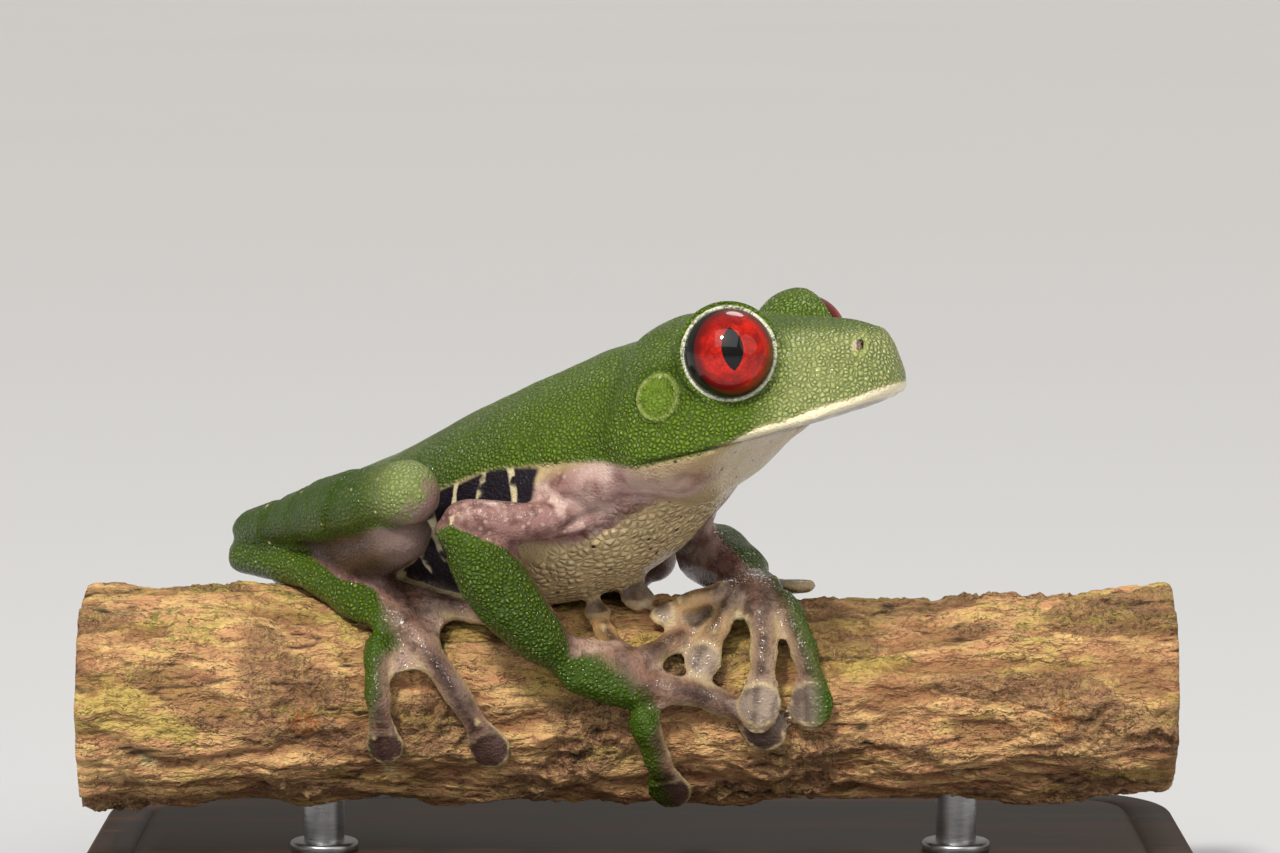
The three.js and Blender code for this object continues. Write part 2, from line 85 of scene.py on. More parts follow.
def pointsOf(thing):
    # a mesh's points, in millimetres
    flat = np.empty(len(thing.data.vertices) * 3, np.float32)
    thing.data.vertices.foreach_get("co", flat)
    return flat.reshape(-1, 3).astype(float) / mm


def normalsOf(thing):
    flat = np.empty(len(thing.data.vertices) * 3, np.float32)
    thing.data.vertices.foreach_get("normal", flat)
    return flat.reshape(-1, 3).astype(float)


def movePoints(thing, points):
    thing.data.vertices.foreach_set("co", (points * mm).astype(np.float32).ravel())
    thing.data.update()


def writeField(thing, name, values):
    field = thing.data.attributes.new(name, "FLOAT", "POINT")
    field.data.foreach_set("value", np.asarray(values, np.float32))


def eased(value, low, high):
    # 0 at low and 1 at high, with soft ends
    share = np.clip((value - low) / (high - low), 0, 1)
    return share * share * (3 - 2 * share)


def ridge(distance, width):
    return np.exp(-((distance / width) ** 2))


def formed(form, distance):
    # what a form adds at a distance from its middle line, by its height and width
    height, width = form
    return height * ridge(distance, width)


def along(table, places):
    # values read from a list of (place, value) pairs
    rows = sorted(table)
    return np.interp(places, [row[0] for row in rows], [row[1] for row in rows])


def unit(vector):
    vector = np.asarray(vector, float)
    return vector / np.linalg.norm(vector)


def distanceToPath(points, path):
    # how far each point is from a chain of straight lines, in two or three dimensions
    best = np.full(len(points), 1e9)
    for start, end in zip(np.asarray(path, float)[:-1], np.asarray(path, float)[1:]):
        line = end - start
        share = np.clip((points - start) @ line / (line @ line), 0, 1)
        best = np.minimum(best, np.linalg.norm(points - start - share[:, None] * line, axis=1))
    return best


def linear(hexColour):
    # an sRGB hex colour as linear values
    parts = [int(hexColour[i : i + 2], 16) / 255 for i in (1, 3, 5)]
    return (*[p / 12.92 if p <= 0.04045 else ((p + 0.055) / 1.055) ** 2.4 for p in parts], 1)


# the kinds of node that the materials use: type, settings, the inputs that values go to, and the output read
cellSockets = ("Vector", "Scale", "Randomness")
nodeKinds = {
    "place": ("ShaderNodeTexCoord", {}, (), "Object"),
    "field": ("ShaderNodeAttribute", {}, (), "Fac"),
    "cloud": ("ShaderNodeTexNoise", {}, ("Vector", "Scale", "Detail", "Roughness"), "Fac"),
    "cloudTint": ("ShaderNodeTexNoise", {}, ("Vector", "Scale", "Detail"), "Color"),
    "cells": ("ShaderNodeTexVoronoi", {}, cellSockets, "Distance"),
    "cellTint": ("ShaderNodeTexVoronoi", {}, cellSockets, "Color"),
    "cellGaps": ("ShaderNodeTexVoronoi", {"feature": "DISTANCE_TO_EDGE"}, cellSockets, 0),
    "waves": ("ShaderNodeTexWave", {}, ("Vector", "Scale", "Distortion", "Detail", "Detail Scale"), "Fac"),
    "turned": ("ShaderNodeMapping", {}, ("Vector", "Rotation", "Scale"), 0),
    "moved": ("ShaderNodeVectorMath", {"operation": "ADD"}, (0, 1), 0),
    "scaled": ("ShaderNodeVectorMath", {"operation": "SCALE"}, (0, 3), 0),
    "red": ("ShaderNodeSeparateColor", {}, (0,), 0),
    "mix": ("ShaderNodeMix", {"data_type": "RGBA"}, (0, 6, 7), 2),
    "ease": ("ShaderNodeMapRange", {"interpolation_type": "SMOOTHSTEP"}, (0, 1, 2, 3, 4), 0),
    "line": ("ShaderNodeMath", {"operation": "MULTIPLY_ADD"}, (0, 1, 2), 0),
    "fraction": ("ShaderNodeMath", {"operation": "FRACT"}, (0,), 0),
    "sine": ("ShaderNodeMath", {"operation": "SINE"}, (0,), 0),
    "bump": ("ShaderNodeBump", {}, ("Height", "Strength", "Distance"), "Normal"),
    "surface": ("ShaderNodeBsdfPrincipled", {}, (), "BSDF"),
    "output": ("ShaderNodeOutputMaterial", {}, (), None),
}
arithmetic = {"sum": "ADD", "less": "SUBTRACT", "times": "MULTIPLY", "over": "DIVIDE", "most": "MAXIMUM"}
arithmetic["above"] = "GREATER_THAN"
for kind, operation in arithmetic.items():
    nodeKinds[kind] = ("ShaderNodeMath", {"operation": operation}, (0, 1), 0)


def addNode(tree, kind, *values, inputs=None, **settings):
    # adds a node, sets it up, fills its inputs, and gives back the output that is read; values left over
    # go to further nodes of the same kind, each one working on the result so far
    typeName, fixed, sockets, output = nodeKinds[kind]
    node = tree.nodes.new(typeName)
    for name, value in {**fixed, **settings}.items():
        setattr(node, name, value)
    for socket, value in [*zip(sockets, values), *(inputs or {}).items()]:
        if isinstance(value, bpy.types.NodeSocket):
            tree.links.new(value, node.inputs[socket])
        else:
            node.inputs[socket].default_value = value
    result = None if output is None else node.outputs[output]
    rest = values[len(sockets) :]
    return addNode(tree, kind, result, *rest) if rest else result


def newMaterial(name):
    # an empty material, and the helper that adds nodes to it
    material = bpy.data.materials.new(name)
    material.use_nodes = True
    material.node_tree.nodes.clear()
    return material, partial(addNode, material.node_tree)


def surfaced(material, add, values):
    # closes a material with its surface
    add("output", inputs={"Surface": add("surface", inputs=values)})
    return material


def lookOf(table):
    # a piece's values with its hex colours turned to linear
    return {name: linear(value) if isinstance(value, str) else value for name, value in table.items()}


# camera, light and floor
studio = {
    "cameraPlace": (0, -0.3978, 0.0805),
    "cameraTilt": 84,  # degrees up from looking straight down
    "lens": 143.3,
    "sensor": 36,
    "aim": (0.004, -0.008, 0.036),
    "floorSide": 14,
    "floorColour": "#d3d6dc",
    "floorCloud": 0.96,  # the floor's darkest places beside its palest
    "worldColour": "#f6f0e4",
    "worldStrength": 0.31,
}
# broad lights far off: azimuth from the camera's side, elevation, spread in degrees, strength, colour
skyLights = [
    ("keyLight", -22, 45, 7, 2.2, "#fff6e8"),
    ("fillLight", 55, 24, 45, 0.5, "#fff8ee"),
    ("backLight", 168, 48, 20, 0.5, "#ffffff"),
]
# the softbox that shows in the eyes: azimuth, elevation, distance, width, height, watts
softbox = ("softbox", -6, 46, 0.5, 0.5, 0.42, 1.3)


def aimed(azimuth, elevation):
    # the way from the model to a lamp, and the turn that points the lamp back
    bearing, lift = math.radians(azimuth), math.radians(elevation)
    level = math.cos(lift)
    away = Vector((math.sin(bearing) * level, -math.cos(bearing) * level, math.sin(lift)))
    return away, away.to_track_quat("Z", "Y").to_euler()


def addStudio():
    tilt = (math.radians(studio["cameraTilt"]), 0, 0)
    bpy.ops.object.camera_add(location=studio["cameraPlace"], rotation=tilt)
    camera = bpy.context.object
    camera.name = "stillCamera"
    camera.data.lens = studio["lens"]
    camera.data.sensor_width = studio["sensor"]
    camera.data.clip_start = 0.01
    camera.data.clip_end = 50
    bpy.context.scene.camera = camera

    aim = Vector(studio["aim"])
    for name, azimuth, elevation, spread, strength, colour in skyLights:
        away, turn = aimed(azimuth, elevation)
        bpy.ops.object.light_add(type="SUN", location=aim + away, rotation=turn)
        lamp = bpy.context.object
        lamp.name = name
        lamp.data.angle = math.radians(spread)
        lamp.data.energy = strength
        lamp.data.color = linear(colour)[:3]
    name, azimuth, elevation, distance, width, height, watts = softbox
    away, turn = aimed(azimuth, elevation)
    bpy.ops.object.light_add(type="AREA", location=aim + away * distance, rotation=turn)
    lamp = bpy.context.object
    lamp.name = name
    lamp.data.shape = "RECTANGLE"
    lamp.data.size = width
    lamp.data.size_y = height
    lamp.data.energy = watts

    world = bpy.data.worlds.new("studioAir")
    bpy.context.scene.world = world
    world.use_nodes = True
    air = world.node_tree.nodes["Background"]
    air.inputs["Color"].default_value = linear(studio["worldColour"])
    air.inputs["Strength"].default_value = studio["worldStrength"]
    bpy.context.scene.view_settings.view_transform = "Standard"

    bpy.ops.mesh.primitive_plane_add(size=studio["floorSide"])
    floor = bpy.context.object
    floor.name = "floor"
    material, add = newMaterial("paintedFloor")  # matt paint: no shine, a faint unevenness
    cloud = add("cloud", add("place"), 3.0, 3.0)
    pale = linear(studio["floorColour"])
    shade = add("mix", cloud, pale, tuple(c * studio["floorCloud"] for c in pale[:3]) + (1,))
    floor.data.materials.append(surfaced(material, add, {"Base Color": shade, "Roughness": 0.85}))


addStudio()
print("camera, light and floor ready")


# the frog's own frames, taken from the solids
def middleOf(node):
    low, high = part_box(node)
    return np.array((low + high) / 2) / mm


upward = np.array((0.0, 0.0, 1.0))
eyeMiddles = {"right": middleOf("eye_right"), "left": middleOf("eye_left")}
sideSign = {"right": 1, "left": -1}
headRight = unit(eyeMiddles["right"] - eyeMiddles["left"])
headAhead = np.cross(upward, headRight)
headMiddle = (eyeMiddles["right"] + eyeMiddles["left"]) / 2 - 0.15 * headAhead  # a little behind the eyes
trunkYaw = math.radians(-38)
trunkAhead = np.array((math.cos(trunkYaw), math.sin(trunkYaw), 0))
trunkRight = np.cross(trunkAhead, upward)
trunkMiddle = np.array((0.7, -6.7, 38.7))  # between the shoulders


def eyeLook(side):
    # where an eye looks: mostly outward, a little forward and up
    return unit(0.5 * headAhead + sideSign[side] * 0.85 * headRight + 0.14 * upward)


def inHead(points):
    apart = points - headMiddle
    return apart @ headAhead, apart @ headRight, apart[:, 2]


def inTrunk(points):
    apart = points - trunkMiddle
    return apart @ trunkAhead, apart @ trunkRight, apart[:, 2]


# the branch's middle line, and where each digit runs over the bark
branch = {
    "axisHeight": 17.0,
    # along X, radius, rise of the branch's middle line
    "line": [
        (-44, 8.9, 0.1), (-34, 8.5, 0.4), (-20, 8.15, 0.3), (0, 8.0, 0),
        (20, 7.9, 0), (34, 7.9, 0.4), (42, 8.1, 1.2),
    ],
}
lineX, lineRadius, lineRise = np.array(branch["line"], float).T
degreeLength = 1 / 7  # about how many millimetres a degree round the bark is
# each digit from the inner one: marks of (along X, degrees round from the top towards -Y, height over the
# bark), then the pad's radius
digits = {
    "hand_right": [
        ([(-1.2, 63, 1.6), (-2.7, 49, 1.4), (-3.3, 33, 1.1)], 1.2),
        ([(-0.6, 66, 1.5), (1.2, 57, 1.2), (3.0, 49, 1.0), (4.6, 38, 0.9)], 1.6),
        ([(0.2, 75, 1.7), (3.9, 77, 1.2), (7.2, 84, 0.9), (9.6, 96, 0.7)], 1.85),
        ([(-0.1, 86, 1.8), (0.9, 101, 1.6), (1.6, 115, 1.4), (2.3, 131, 1.1)], 1.9),
    ],
    "hand_left": [
        ([(7.6, 28, 3.0), (5.8, 34, 3.2), (4.0, 33, 2.9), (1.9, 36, 1.2)], 1.2),
        ([(8.0, 29, 2.9), (6.8, 38, 2.7), (5.8, 49, 2.2), (4.9, 61, 1.1)], 1.6),
        ([(9.0, 33, 2.8), (9.6, 54, 2.6), (9.4, 71, 2.4), (9.2, 83, 2.15)], 1.85),
        ([(10.8, 30, 2.5), (12.5, 54, 1.9), (13.1, 68, 1.5), (13.2, 83, 1.1)], 1.9),
    ],
    "foot_right": [
        ([(-18.8, 28, 1.6), (-17.4, 18, 1.3), (-15.6, 9, 1.05)], 1.2),
        ([(-18.2, 31, 1.6), (-15.2, 23, 1.3), (-12.2, 21, 1.05)], 1.35),
        ([(-17.8, 35, 1.6), (-15.2, 33, 1.4), (-12.4, 37, 1.2), (-9.8, 44, 1.0)], 1.55),
        ([(-18.2, 46, 1.6), (-15.4, 68, 1.5), (-13.0, 90, 1.3), (-11.6, 106, 1.05)], 1.75),
        ([(-20.2, 52, 1.6), (-20.3, 74, 1.5), (-20.0, 92, 1.3), (-19.7, 105, 1.05)], 1.6),
    ],
    "foot_left": [
        ([(-5.0, -54, 1.6), (-5.6, -42, 1.3), (-6.2, -31, 1.05)], 1.2),
        ([(-4.4, -53, 1.6), (-3.6, -36, 1.3), (-3.4, -22, 1.05)], 1.35),
        ([(-4.0, -54, 1.6), (-1.8, -28, 1.4), (-0.8, -4, 1.2), (-0.2, 20, 1.0)], 1.55),
        ([(-3.8, -58, 1.6), (1.6, -51, 1.2), (7.0, -43, 1.1), (12.2, -9, 1.0)], 1.75),
        ([(-4.4, -66, 1.6), (-0.2, -70, 1.4), (4.4, -68, 1.3), (7.8, -64, 1.05)], 1.6),
    ],
}


def branchRadius(x, turn):
    # the branch's girth, with the gentle unevenness of its solid
    broad = 0.012 * np.sin(3 * turn + 0.16 * x) + 0.01 * np.sin(5 * turn - 0.23 * x + 1)
    return np.interp(x, lineX, lineRadius) * (1 + broad + 0.008 * np.sin(0.55 * x + turn))


def overBark(x, turn, lift):
    # the place at a height over the bark
    radius = branchRadius(x, turn) + lift
    height = branch["axisHeight"] + np.interp(x, lineX, lineRise) + radius * np.cos(turn)
    return np.stack([x + 0 * radius, -radius * np.sin(turn), height], axis=-1)


def digitPath(marks, steps=28):
    # points along a digit's middle, read evenly between its marks, and the direction out of the bark at each
    marks = np.array(marks, float)
    lengths = np.linalg.norm(np.diff(marks * (1, degreeLength, 1), axis=0), axis=1)
    places = np.concatenate([[0], np.cumsum(lengths)])
    even = np.linspace(0, places[-1], steps)
    x, turn, lift = (np.interp(even, places, marks[:, k]) for k in range(3))
    path = overBark(x, np.radians(turn), lift)
    outward = overBark(x, np.radians(turn), lift + 1) - path
    return path, outward, even / places[-1]


# the one skin, in millimetres
skin = {
    "voxel": 0.27,
    "quickVoxel": 0.432,
    "swell": 0.24,  # closes the thin cuts between the solids, and is taken off again
    "relaxSteps": 110,
    "lidRadius": 3.95,
    "plugRadius": 3.3,
    "lidOpening": 0.6,
    "orbitSteps": 45,
    "triangles": 194000,
    "joinSteps": 34,
    "joinReach": 2.7,
    "shareReach": 2.6,  # how near a solid has to be for a point to belong to it
    "shareBlend": 0.42,  # how softly one solid's share of a point passes to the next
    "relaxLevels": 40,
    "lidCalm": (0.16, 4.2, 5.4),  # the share of the smoothing at an eye, and the distances it grows over
    # a fold of skin between thigh and heel: its place and radius
    "hamFold": ((-20.3, -5.2, 26.5), 1.15),
}
# how long each part is smoothed, as a share of the steps, and what smoothing takes off it
relaxing = {
    "trunk": (1.0, 0.12),
    "head": (0.4, 0.03),
    "lower_jaw": (0.4, 0.03),
    "eardrum": (0.3, 0.03),
    "upper_arm": (0.16, 0.05),
    "forearm": (0.14, 0.05),
    "thigh": (0.25, 0.08),
    "shank": (0.2, 0.08),
    "tarsus": (0.16, 0.06),
    "hand": (0.06, 0.05),
    "foot": (0.06, 0.05),
}
fleshNodes = sorted(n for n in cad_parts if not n.startswith(("eye_", "perch", "stand_")))


def kindOf(node):
    return node.removesuffix("_right").removesuffix("_left")


def lidDome(side):
    # the round bulge of skin over an eyeball, cut flat where the eye looks out, over a plug in its socket
    centre = Vector(eyeMiddles[side] * mm)
    look = Vector(eyeLook(side))
    radius = skin["lidRadius"] * mm
    bpy.ops.mesh.primitive_uv_sphere_add(segments=64, ring_count=40, radius=radius, location=centre)
    dome = bpy.context.object
    settle(dome)
    bpy.ops.object.mode_set(mode="EDIT")
    bpy.ops.mesh.select_all(action="SELECT")
    rim = centre + look * skin["lidOpening"] * mm
    bpy.ops.mesh.bisect(plane_co=rim, plane_no=look, clear_outer=True, use_fill=True)
    bpy.ops.object.mode_set(mode="OBJECT")
    radius = skin["plugRadius"] * mm
    bpy.ops.mesh.primitive_uv_sphere_add(segments=48, ring_count=32, radius=radius, location=centre)
    plug = bpy.context.object
    settle(plug)
    return [dome, plug]


def shellOfFlesh():
    # one closed skin round copies of all the solids of flesh
    parts = []
    for node in fleshNodes:
        part = bpy.data.objects.new(node + "Copy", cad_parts[node].data.copy())
        bpy.context.collection.objects.link(part)
        parts.append(part)
    for side in eyeMiddles:
        parts += lidDome(side)
    place, radius = (np.array(value) * mm for value in skin["hamFold"])
    bpy.ops.mesh.primitive_uv_sphere_add(segments=24, ring_count=16, radius=radius, location=place)
    settle(bpy.context.object)
    parts.append(bpy.context.object)
    alone(*parts)
    bpy.ops.object.join()
    shell = bpy.context.object
    shell.name = "frogSkin"
    shell.data.materials.clear()
    bpy.ops.object.mode_set(mode="EDIT")
    bpy.ops.mesh.select_all(action="SELECT")
    bpy.ops.mesh.remove_doubles(threshold=1e-6)
    bpy.ops.object.mode_set(mode="OBJECT")
    swell = shell.modifiers.new("swell", "DISPLACE")
    swell.mid_level = 0
    swell.strength = skin["swell"] * mm
    remesh = shell.modifiers.new("oneSkin", "REMESH")
    remesh.mode = "VOXEL"
    remesh.voxel_size = skin["voxel"] * mm
    remesh.use_smooth_shade = True
    applyAll(shell)
    return shell


def sharesOf(points):
    # how much each point belongs to each solid of flesh, by how near it is
    reach = skin["shareReach"]
    nearness = {}
    for node in fleshNodes:
        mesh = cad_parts[node].data
        tree = BVHTree.FromPolygons([v.co for v in mesh.vertices], [p.vertices for p in mesh.polygons])
        low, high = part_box(node)
        inside = (points > np.array(low) / mm - reach) & (points < np.array(high) / mm + reach)
        away = np.full(len(points), reach)
        for i in np.flatnonzero(inside.all(axis=1)):
            found = tree.find_nearest(Vector(points[i] * mm), reach * mm)
            if found[3] is not None:
                away[i] = found[3] / mm
        nearness[node] = np.exp(-away / skin["shareBlend"])
    total = sum(nearness.values())
    return {node: value / total for node, value in nearness.items()}


frogSkin = shellOfFlesh()
print("one skin:", len(frogSkin.data.vertices), "points")
points = pointsOf(frogSkin)
shares = sharesOf(points)


def relaxSkin(thing, points, shares):
    # smooths the solids' flat facets away: long over the trunk and hardly at all over the digits
    weight = sum(shares[node] * relaxing[kindOf(node)][0] for node in fleshNodes)
    least, near, far = skin["lidCalm"]
    for side in eyeMiddles:
        away = np.linalg.norm(points - eyeMiddles[side], axis=1)
        weight = weight * (least + (1 - least) * eased(away, near, far))
    group = thing.vertex_groups.new(name="relax")
    levels = skin["relaxLevels"]
    for level in range(1, levels + 1):
        chosen = np.flatnonzero(np.round(weight * levels) == level)
        group.add([int(i) for i in chosen], level / levels, "REPLACE")
    relax = thing.modifiers.new("relax", "SMOOTH")
    relax.factor = 0.5
    relax.iterations = skin["relaxSteps"]
    relax.vertex_group = "relax"
    applyAll(thing)
    thing.vertex_groups.clear()


relaxSkin(frogSkin, points, shares)
regain = sum(shares[node] * relaxing[kindOf(node)][1] for node in fleshNodes)
points = pointsOf(frogSkin) + normalsOf(frogSkin) * (regain - skin["swell"])[:, None]
movePoints(frogSkin, points)
print("skin smoothed")

# the head's forms, as (forward, up) from the middle between the eyes
face = {
    "mouth": [
        (-14, -10.2), (-6.4, -8.5), (-4.1, -7.95), (1.3, -6.55), (5.7, -5.25),
        (7.1, -4.65), (9, -3.95), (10.4, -3.38), (11.3, -3.05), (14, -2.4),
    ],
    "nostril": (9.02, 0.63),
    "nostrilSize": (0.19, 0.36),
    "eardrum": (-4.85, -3.3),
    "eardrumRadius": 1.62,
    "lidBead": (3.45, 0.66, 0.15),  # out from the eye's axis, out along it, thickness
    "lidHole": 3.33,
    "orbitEdge": 3.85,
    "orbitSlope": 1.5,
    "jawThinness": 0.2,
    "jawThinFrom": (-0.9, 0.9),
    "noseFlat": (10.9, -0.4),
    "brow": [(3.3, 1.5), (5.6, 1.6), (8.2, 1.4)],
    "cheekHollow": (6.2, -1.3),
    "earFold": [(-3.0, 0.6), (-4.6, -0.7), (-6.6, -1.9), (-8.4, -4.6), (-9.4, -7.0)],
}
# height and width of each form of the face
faceForms = {
    "brow": (0.22, 0.8),
    "cheekHollow": (-0.26, 1.9),
    "noseFlat": (-0.3, 1.5),
    "upperLip": (0.13, 0.3),
    "lowerLip": (0.07, 0.3),
    "mouthCrease": (-0.2, 0.12),
    "drumRing": (0.13, 0.15),
    "drumGroove": (-0.06, 0.2),
    "earFold": (0.3, 0.75),
    "nostrilRim": (0.13, 0.17),
}
drumDepth, nostrilDepth = 0.07, 0.5
# where the face gets finer: round the lid's edge (middle and reach, outward and along the eye's axis), and
# how far from a nostril, the eardrum's rim and the mouth line
finer = {"lidOut": (3.55, 0.62), "lidAlong": (0.5, 0.8), "nostril": 1.05, "drumRim": 0.42, "lip": 0.35}


def lidPlaces(points, side):
    # how far points lie out along an eye's axis, and how far from it
    apart = points - eyeMiddles[side]
    level = apart @ eyeLook(side)
    return level, np.linalg.norm(apart - level[:, None] * eyeLook(side), axis=1)


def selectPoints(thing, chosen):
    # goes into edit mode with only these points selected
    alone(thing)
    bpy.ops.object.mode_set(mode="EDIT")
    bpy.ops.mesh.select_mode(type="VERT")
    bpy.ops.mesh.select_all(action="DESELECT")
    bpy.ops.object.mode_set(mode="OBJECT")
    thing.data.vertices.foreach_set("select", chosen)
    bpy.ops.object.mode_set(mode="EDIT")


def softenNear(thing, near, steps):
    # smooths the points chosen
    selectPoints(thing, near)
    bpy.ops.mesh.vertices_smooth(factor=0.5, repeat=steps)
    bpy.ops.object.mode_set(mode="OBJECT")


def refineNear(thing, near):
    # splits the faces between the points chosen, once
    selectPoints(thing, near)
    bpy.ops.mesh.subdivide(number_cuts=1)
    bpy.ops.mesh.vertices_smooth(factor=0.4, repeat=2)
    bpy.ops.object.mode_set(mode="OBJECT")


def refineFace(thing, closer):
    # finer faces round the lids, the nostrils, the lips and the eardrums: closer narrows where
    points = pointsOf(thing)
    ahead, aside, height = inHead(points)
    flat = np.stack([ahead, height], axis=1)
    near = np.zeros(len(points), bool)
    outAt, outReach = finer["lidOut"]
    alongAt, alongReach = finer["lidAlong"]
    for side in eyeMiddles:
        level, radial = lidPlaces(points, side)
        near |= (np.abs(radial - outAt) < outReach * closer) & (np.abs(level - alongAt) < alongReach * closer)
    near |= (np.linalg.norm(flat - face["nostril"], axis=1) < finer["nostril"] * closer) & (ahead > 6)
    if closer == 1:
        away = np.linalg.norm(flat - face["eardrum"], axis=1)
        near |= (np.abs(away - face["eardrumRadius"]) < finer["drumRim"]) & (np.abs(aside) > 7)
        lip = height - along(face["mouth"], ahead)
        onLip = (np.abs(lip) < finer["lip"]) & (ahead > -5)
        near |= onLip & (np.abs(aside) + np.maximum(ahead, 0) > 5)
    refineNear(thing, near)


def clearEyes(points):
    # lowers the flesh that stands over the edge of an eye, so the lid shows all round it
    for side in eyeMiddles:
        level, radial = lidPlaces(points, side)
        ball = np.sqrt(np.maximum(skin["plugRadius"] ** 2 - radial**2, 0))
        slope = 0.5 + face["orbitSlope"] * np.maximum(radial - face["orbitEdge"], 0) ** 1.2
        ceiling = np.where(radial < 3.2, ball, slope)
        over = level - ceiling
        soft = np.where(radial < 3.6, 0, 0.4 * eased(radial, 3.6, 4.4))
        over = 0.5 * (over + np.sqrt(over**2 + soft**2)) * (level > 0.2) * (1 - eased(radial, 5.2, 6.4))
        points = points - eyeLook(side) * over[:, None]
    return points


def thinJaw(points):
    # the lower jaw is a thin rim in front, and deepens into the throat farther back
    ahead, _, height = inHead(points)
    mouth = along(face["mouth"], ahead)
    keep = 1 - (1 - face["jawThinness"]) * eased(ahead, *face["jawThinFrom"])
    below = (height < mouth) & (ahead > -1) & (height > mouth - 6)
    points[:, 2] += np.where(below, (mouth - height) * (1 - keep), 0)
    return points


def softenOrbits(thing):
    # smooths the slope between each lid and the face
    points = pointsOf(thing)
    near = np.zeros(len(points), bool)
    for side in eyeMiddles:
        level, radial = lidPlaces(points, side)
        near |= (radial > 4.15) & (radial < 7.6) & (level > -2.2)
    softenNear(thing, near, skin["orbitSteps"])


movePoints(frogSkin, thinJaw(clearEyes(pointsOf(frogSkin))))
softenOrbits(frogSkin)
points = pointsOf(frogSkin)
refineFace(frogSkin, 1)
refineFace(frogSkin, 0.7)
points = pointsOf(frogSkin)
shares = sharesOf(points)
print("face refined:", len(frogSkin.data.vertices), "points")


def lidProfile(radial, level):
    # signed distance to the lid's section: a round dome cut flat, with a bead round the opening
    dome = np.maximum(np.hypot(radial, level) - skin["lidRadius"], level - 0.5)
    out, up, thick = face["lidBead"]
    bead = np.hypot(radial - out, level - up) - thick
    blend = np.clip(0.5 + (bead - dome) / 0.12, 0, 1)
    shape = bead * (1 - blend) + dome * blend - 0.06 * blend * (1 - blend)
    return np.maximum(shape, face["lidHole"] - radial)


def shapeLids(points):
    # draws the skin round each eye onto the lid's section
    for side in eyeMiddles:
        look = eyeLook(side)
        for _ in range(4):
            level, radial = lidPlaces(points, side)
            outward = points - eyeMiddles[side] - level[:, None] * look
            outward /= np.maximum(radial, 1e-6)[:, None]
            off = lidProfile(radial, level)
            slopeOut = (lidProfile(radial + 0.01, level) - off) / 0.01
            slopeUp = (lidProfile(radial, level + 0.01) - off) / 0.01
            near = eased(level, -0.9, -0.2) * (1 - eased(radial, 4.0, 4.3)) * eased(radial, 3.2, 3.28)
            pull = off * near * (1 - eased(np.abs(off), 0.25, 0.5)) * 0.8
            points = points - (outward * slopeOut[:, None] + look * slopeUp[:, None]) * pull[:, None]
    return points


def nostrilHole(slit):
    # roughly how far each point lies outside the nostril's upright oval
    wide, tall = face["nostrilSize"]
    return (np.hypot((slit[:, 0] + 0.25 * slit[:, 1]) / wide, slit[:, 1] / tall) - 1) * wide


def headShareOf(shares):
    return shares["head"] + shares["lower_jaw"] + shares["eardrum_right"] + shares["eardrum_left"]


def shapeFace(thing, points, shares):
    normals = normalsOf(thing)
    ahead, aside, height = inHead(points)
    onHead = headShareOf(shares) + shares["trunk"] * eased(ahead, -12, -8)
    flat = np.stack([ahead, height], axis=1)
    push = np.zeros(len(points))

    # the brow's ridge from the eye to the nostril, and the flatter cheek under it
    outer = eased(np.abs(aside), 1.2, 3.0)
    push += formed(faceForms["brow"], distanceToPath(flat, face["brow"])) * outer
    push += formed(faceForms["cheekHollow"], np.linalg.norm(flat - face["cheekHollow"], axis=1)) * outer
    push += formed(faceForms["noseFlat"], np.linalg.norm(flat - face["noseFlat"], axis=1))
    # the mouth's crease between two soft lips
    lip = height - along(face["mouth"], ahead)
    lips = formed(faceForms["upperLip"], lip - 0.42) + formed(faceForms["lowerLip"], lip + 0.4)
    push += eased(ahead, -7.4, -5.2) * (lips + formed(faceForms["mouthCrease"], lip))
    # the eardrum, a shallow dish in a raised ring, and the fold of skin over it
    away = np.linalg.norm(flat - face["eardrum"], axis=1)
    radius = face["eardrumRadius"]
    cheek = eased(np.abs(aside), 6, 7.5)
    dish = drumDepth * (1 - eased(away, radius - 0.4, radius))
    push += cheek * (formed(faceForms["drumRing"], away - radius) - dish)
    push += cheek * formed(faceForms["drumGroove"], away - radius - 0.35)
    push += cheek * formed(faceForms["earFold"], distanceToPath(flat, face["earFold"]))
    # nostrils: a slit in a low round rim
    hole = nostrilHole(flat - face["nostril"])
    nostrils = formed(faceForms["nostrilRim"], hole - 0.2) - nostrilDepth * (1 - eased(hole, -0.16, 0.05))
    push += (np.abs(aside) > 1.6) * nostrils
    points = points + normals * (push * onHead)[:, None]
    return shapeLids(points)


def softenJoins(thing, points, shares):
    # one smooth line from each forearm into its hand, and from each tarsus into its foot
    near = np.zeros(len(points), bool)
    for hand in digits:
        limb = hand.replace("hand", "forearm").replace("foot", "tarsus")
        place = points[shares[hand] * shares[limb] > 0.15].mean(axis=0)
        close = np.linalg.norm(points - place, axis=1) < skin["joinReach"]
        near |= close & (shares[hand] + shares[limb] > 0.7)
    softenNear(thing, near, skin["joinSteps"])


movePoints(frogSkin, shapeFace(frogSkin, points, shares))
softenJoins(frogSkin, pointsOf(frogSkin), shares)
points = pointsOf(frogSkin)
print("face shaped")

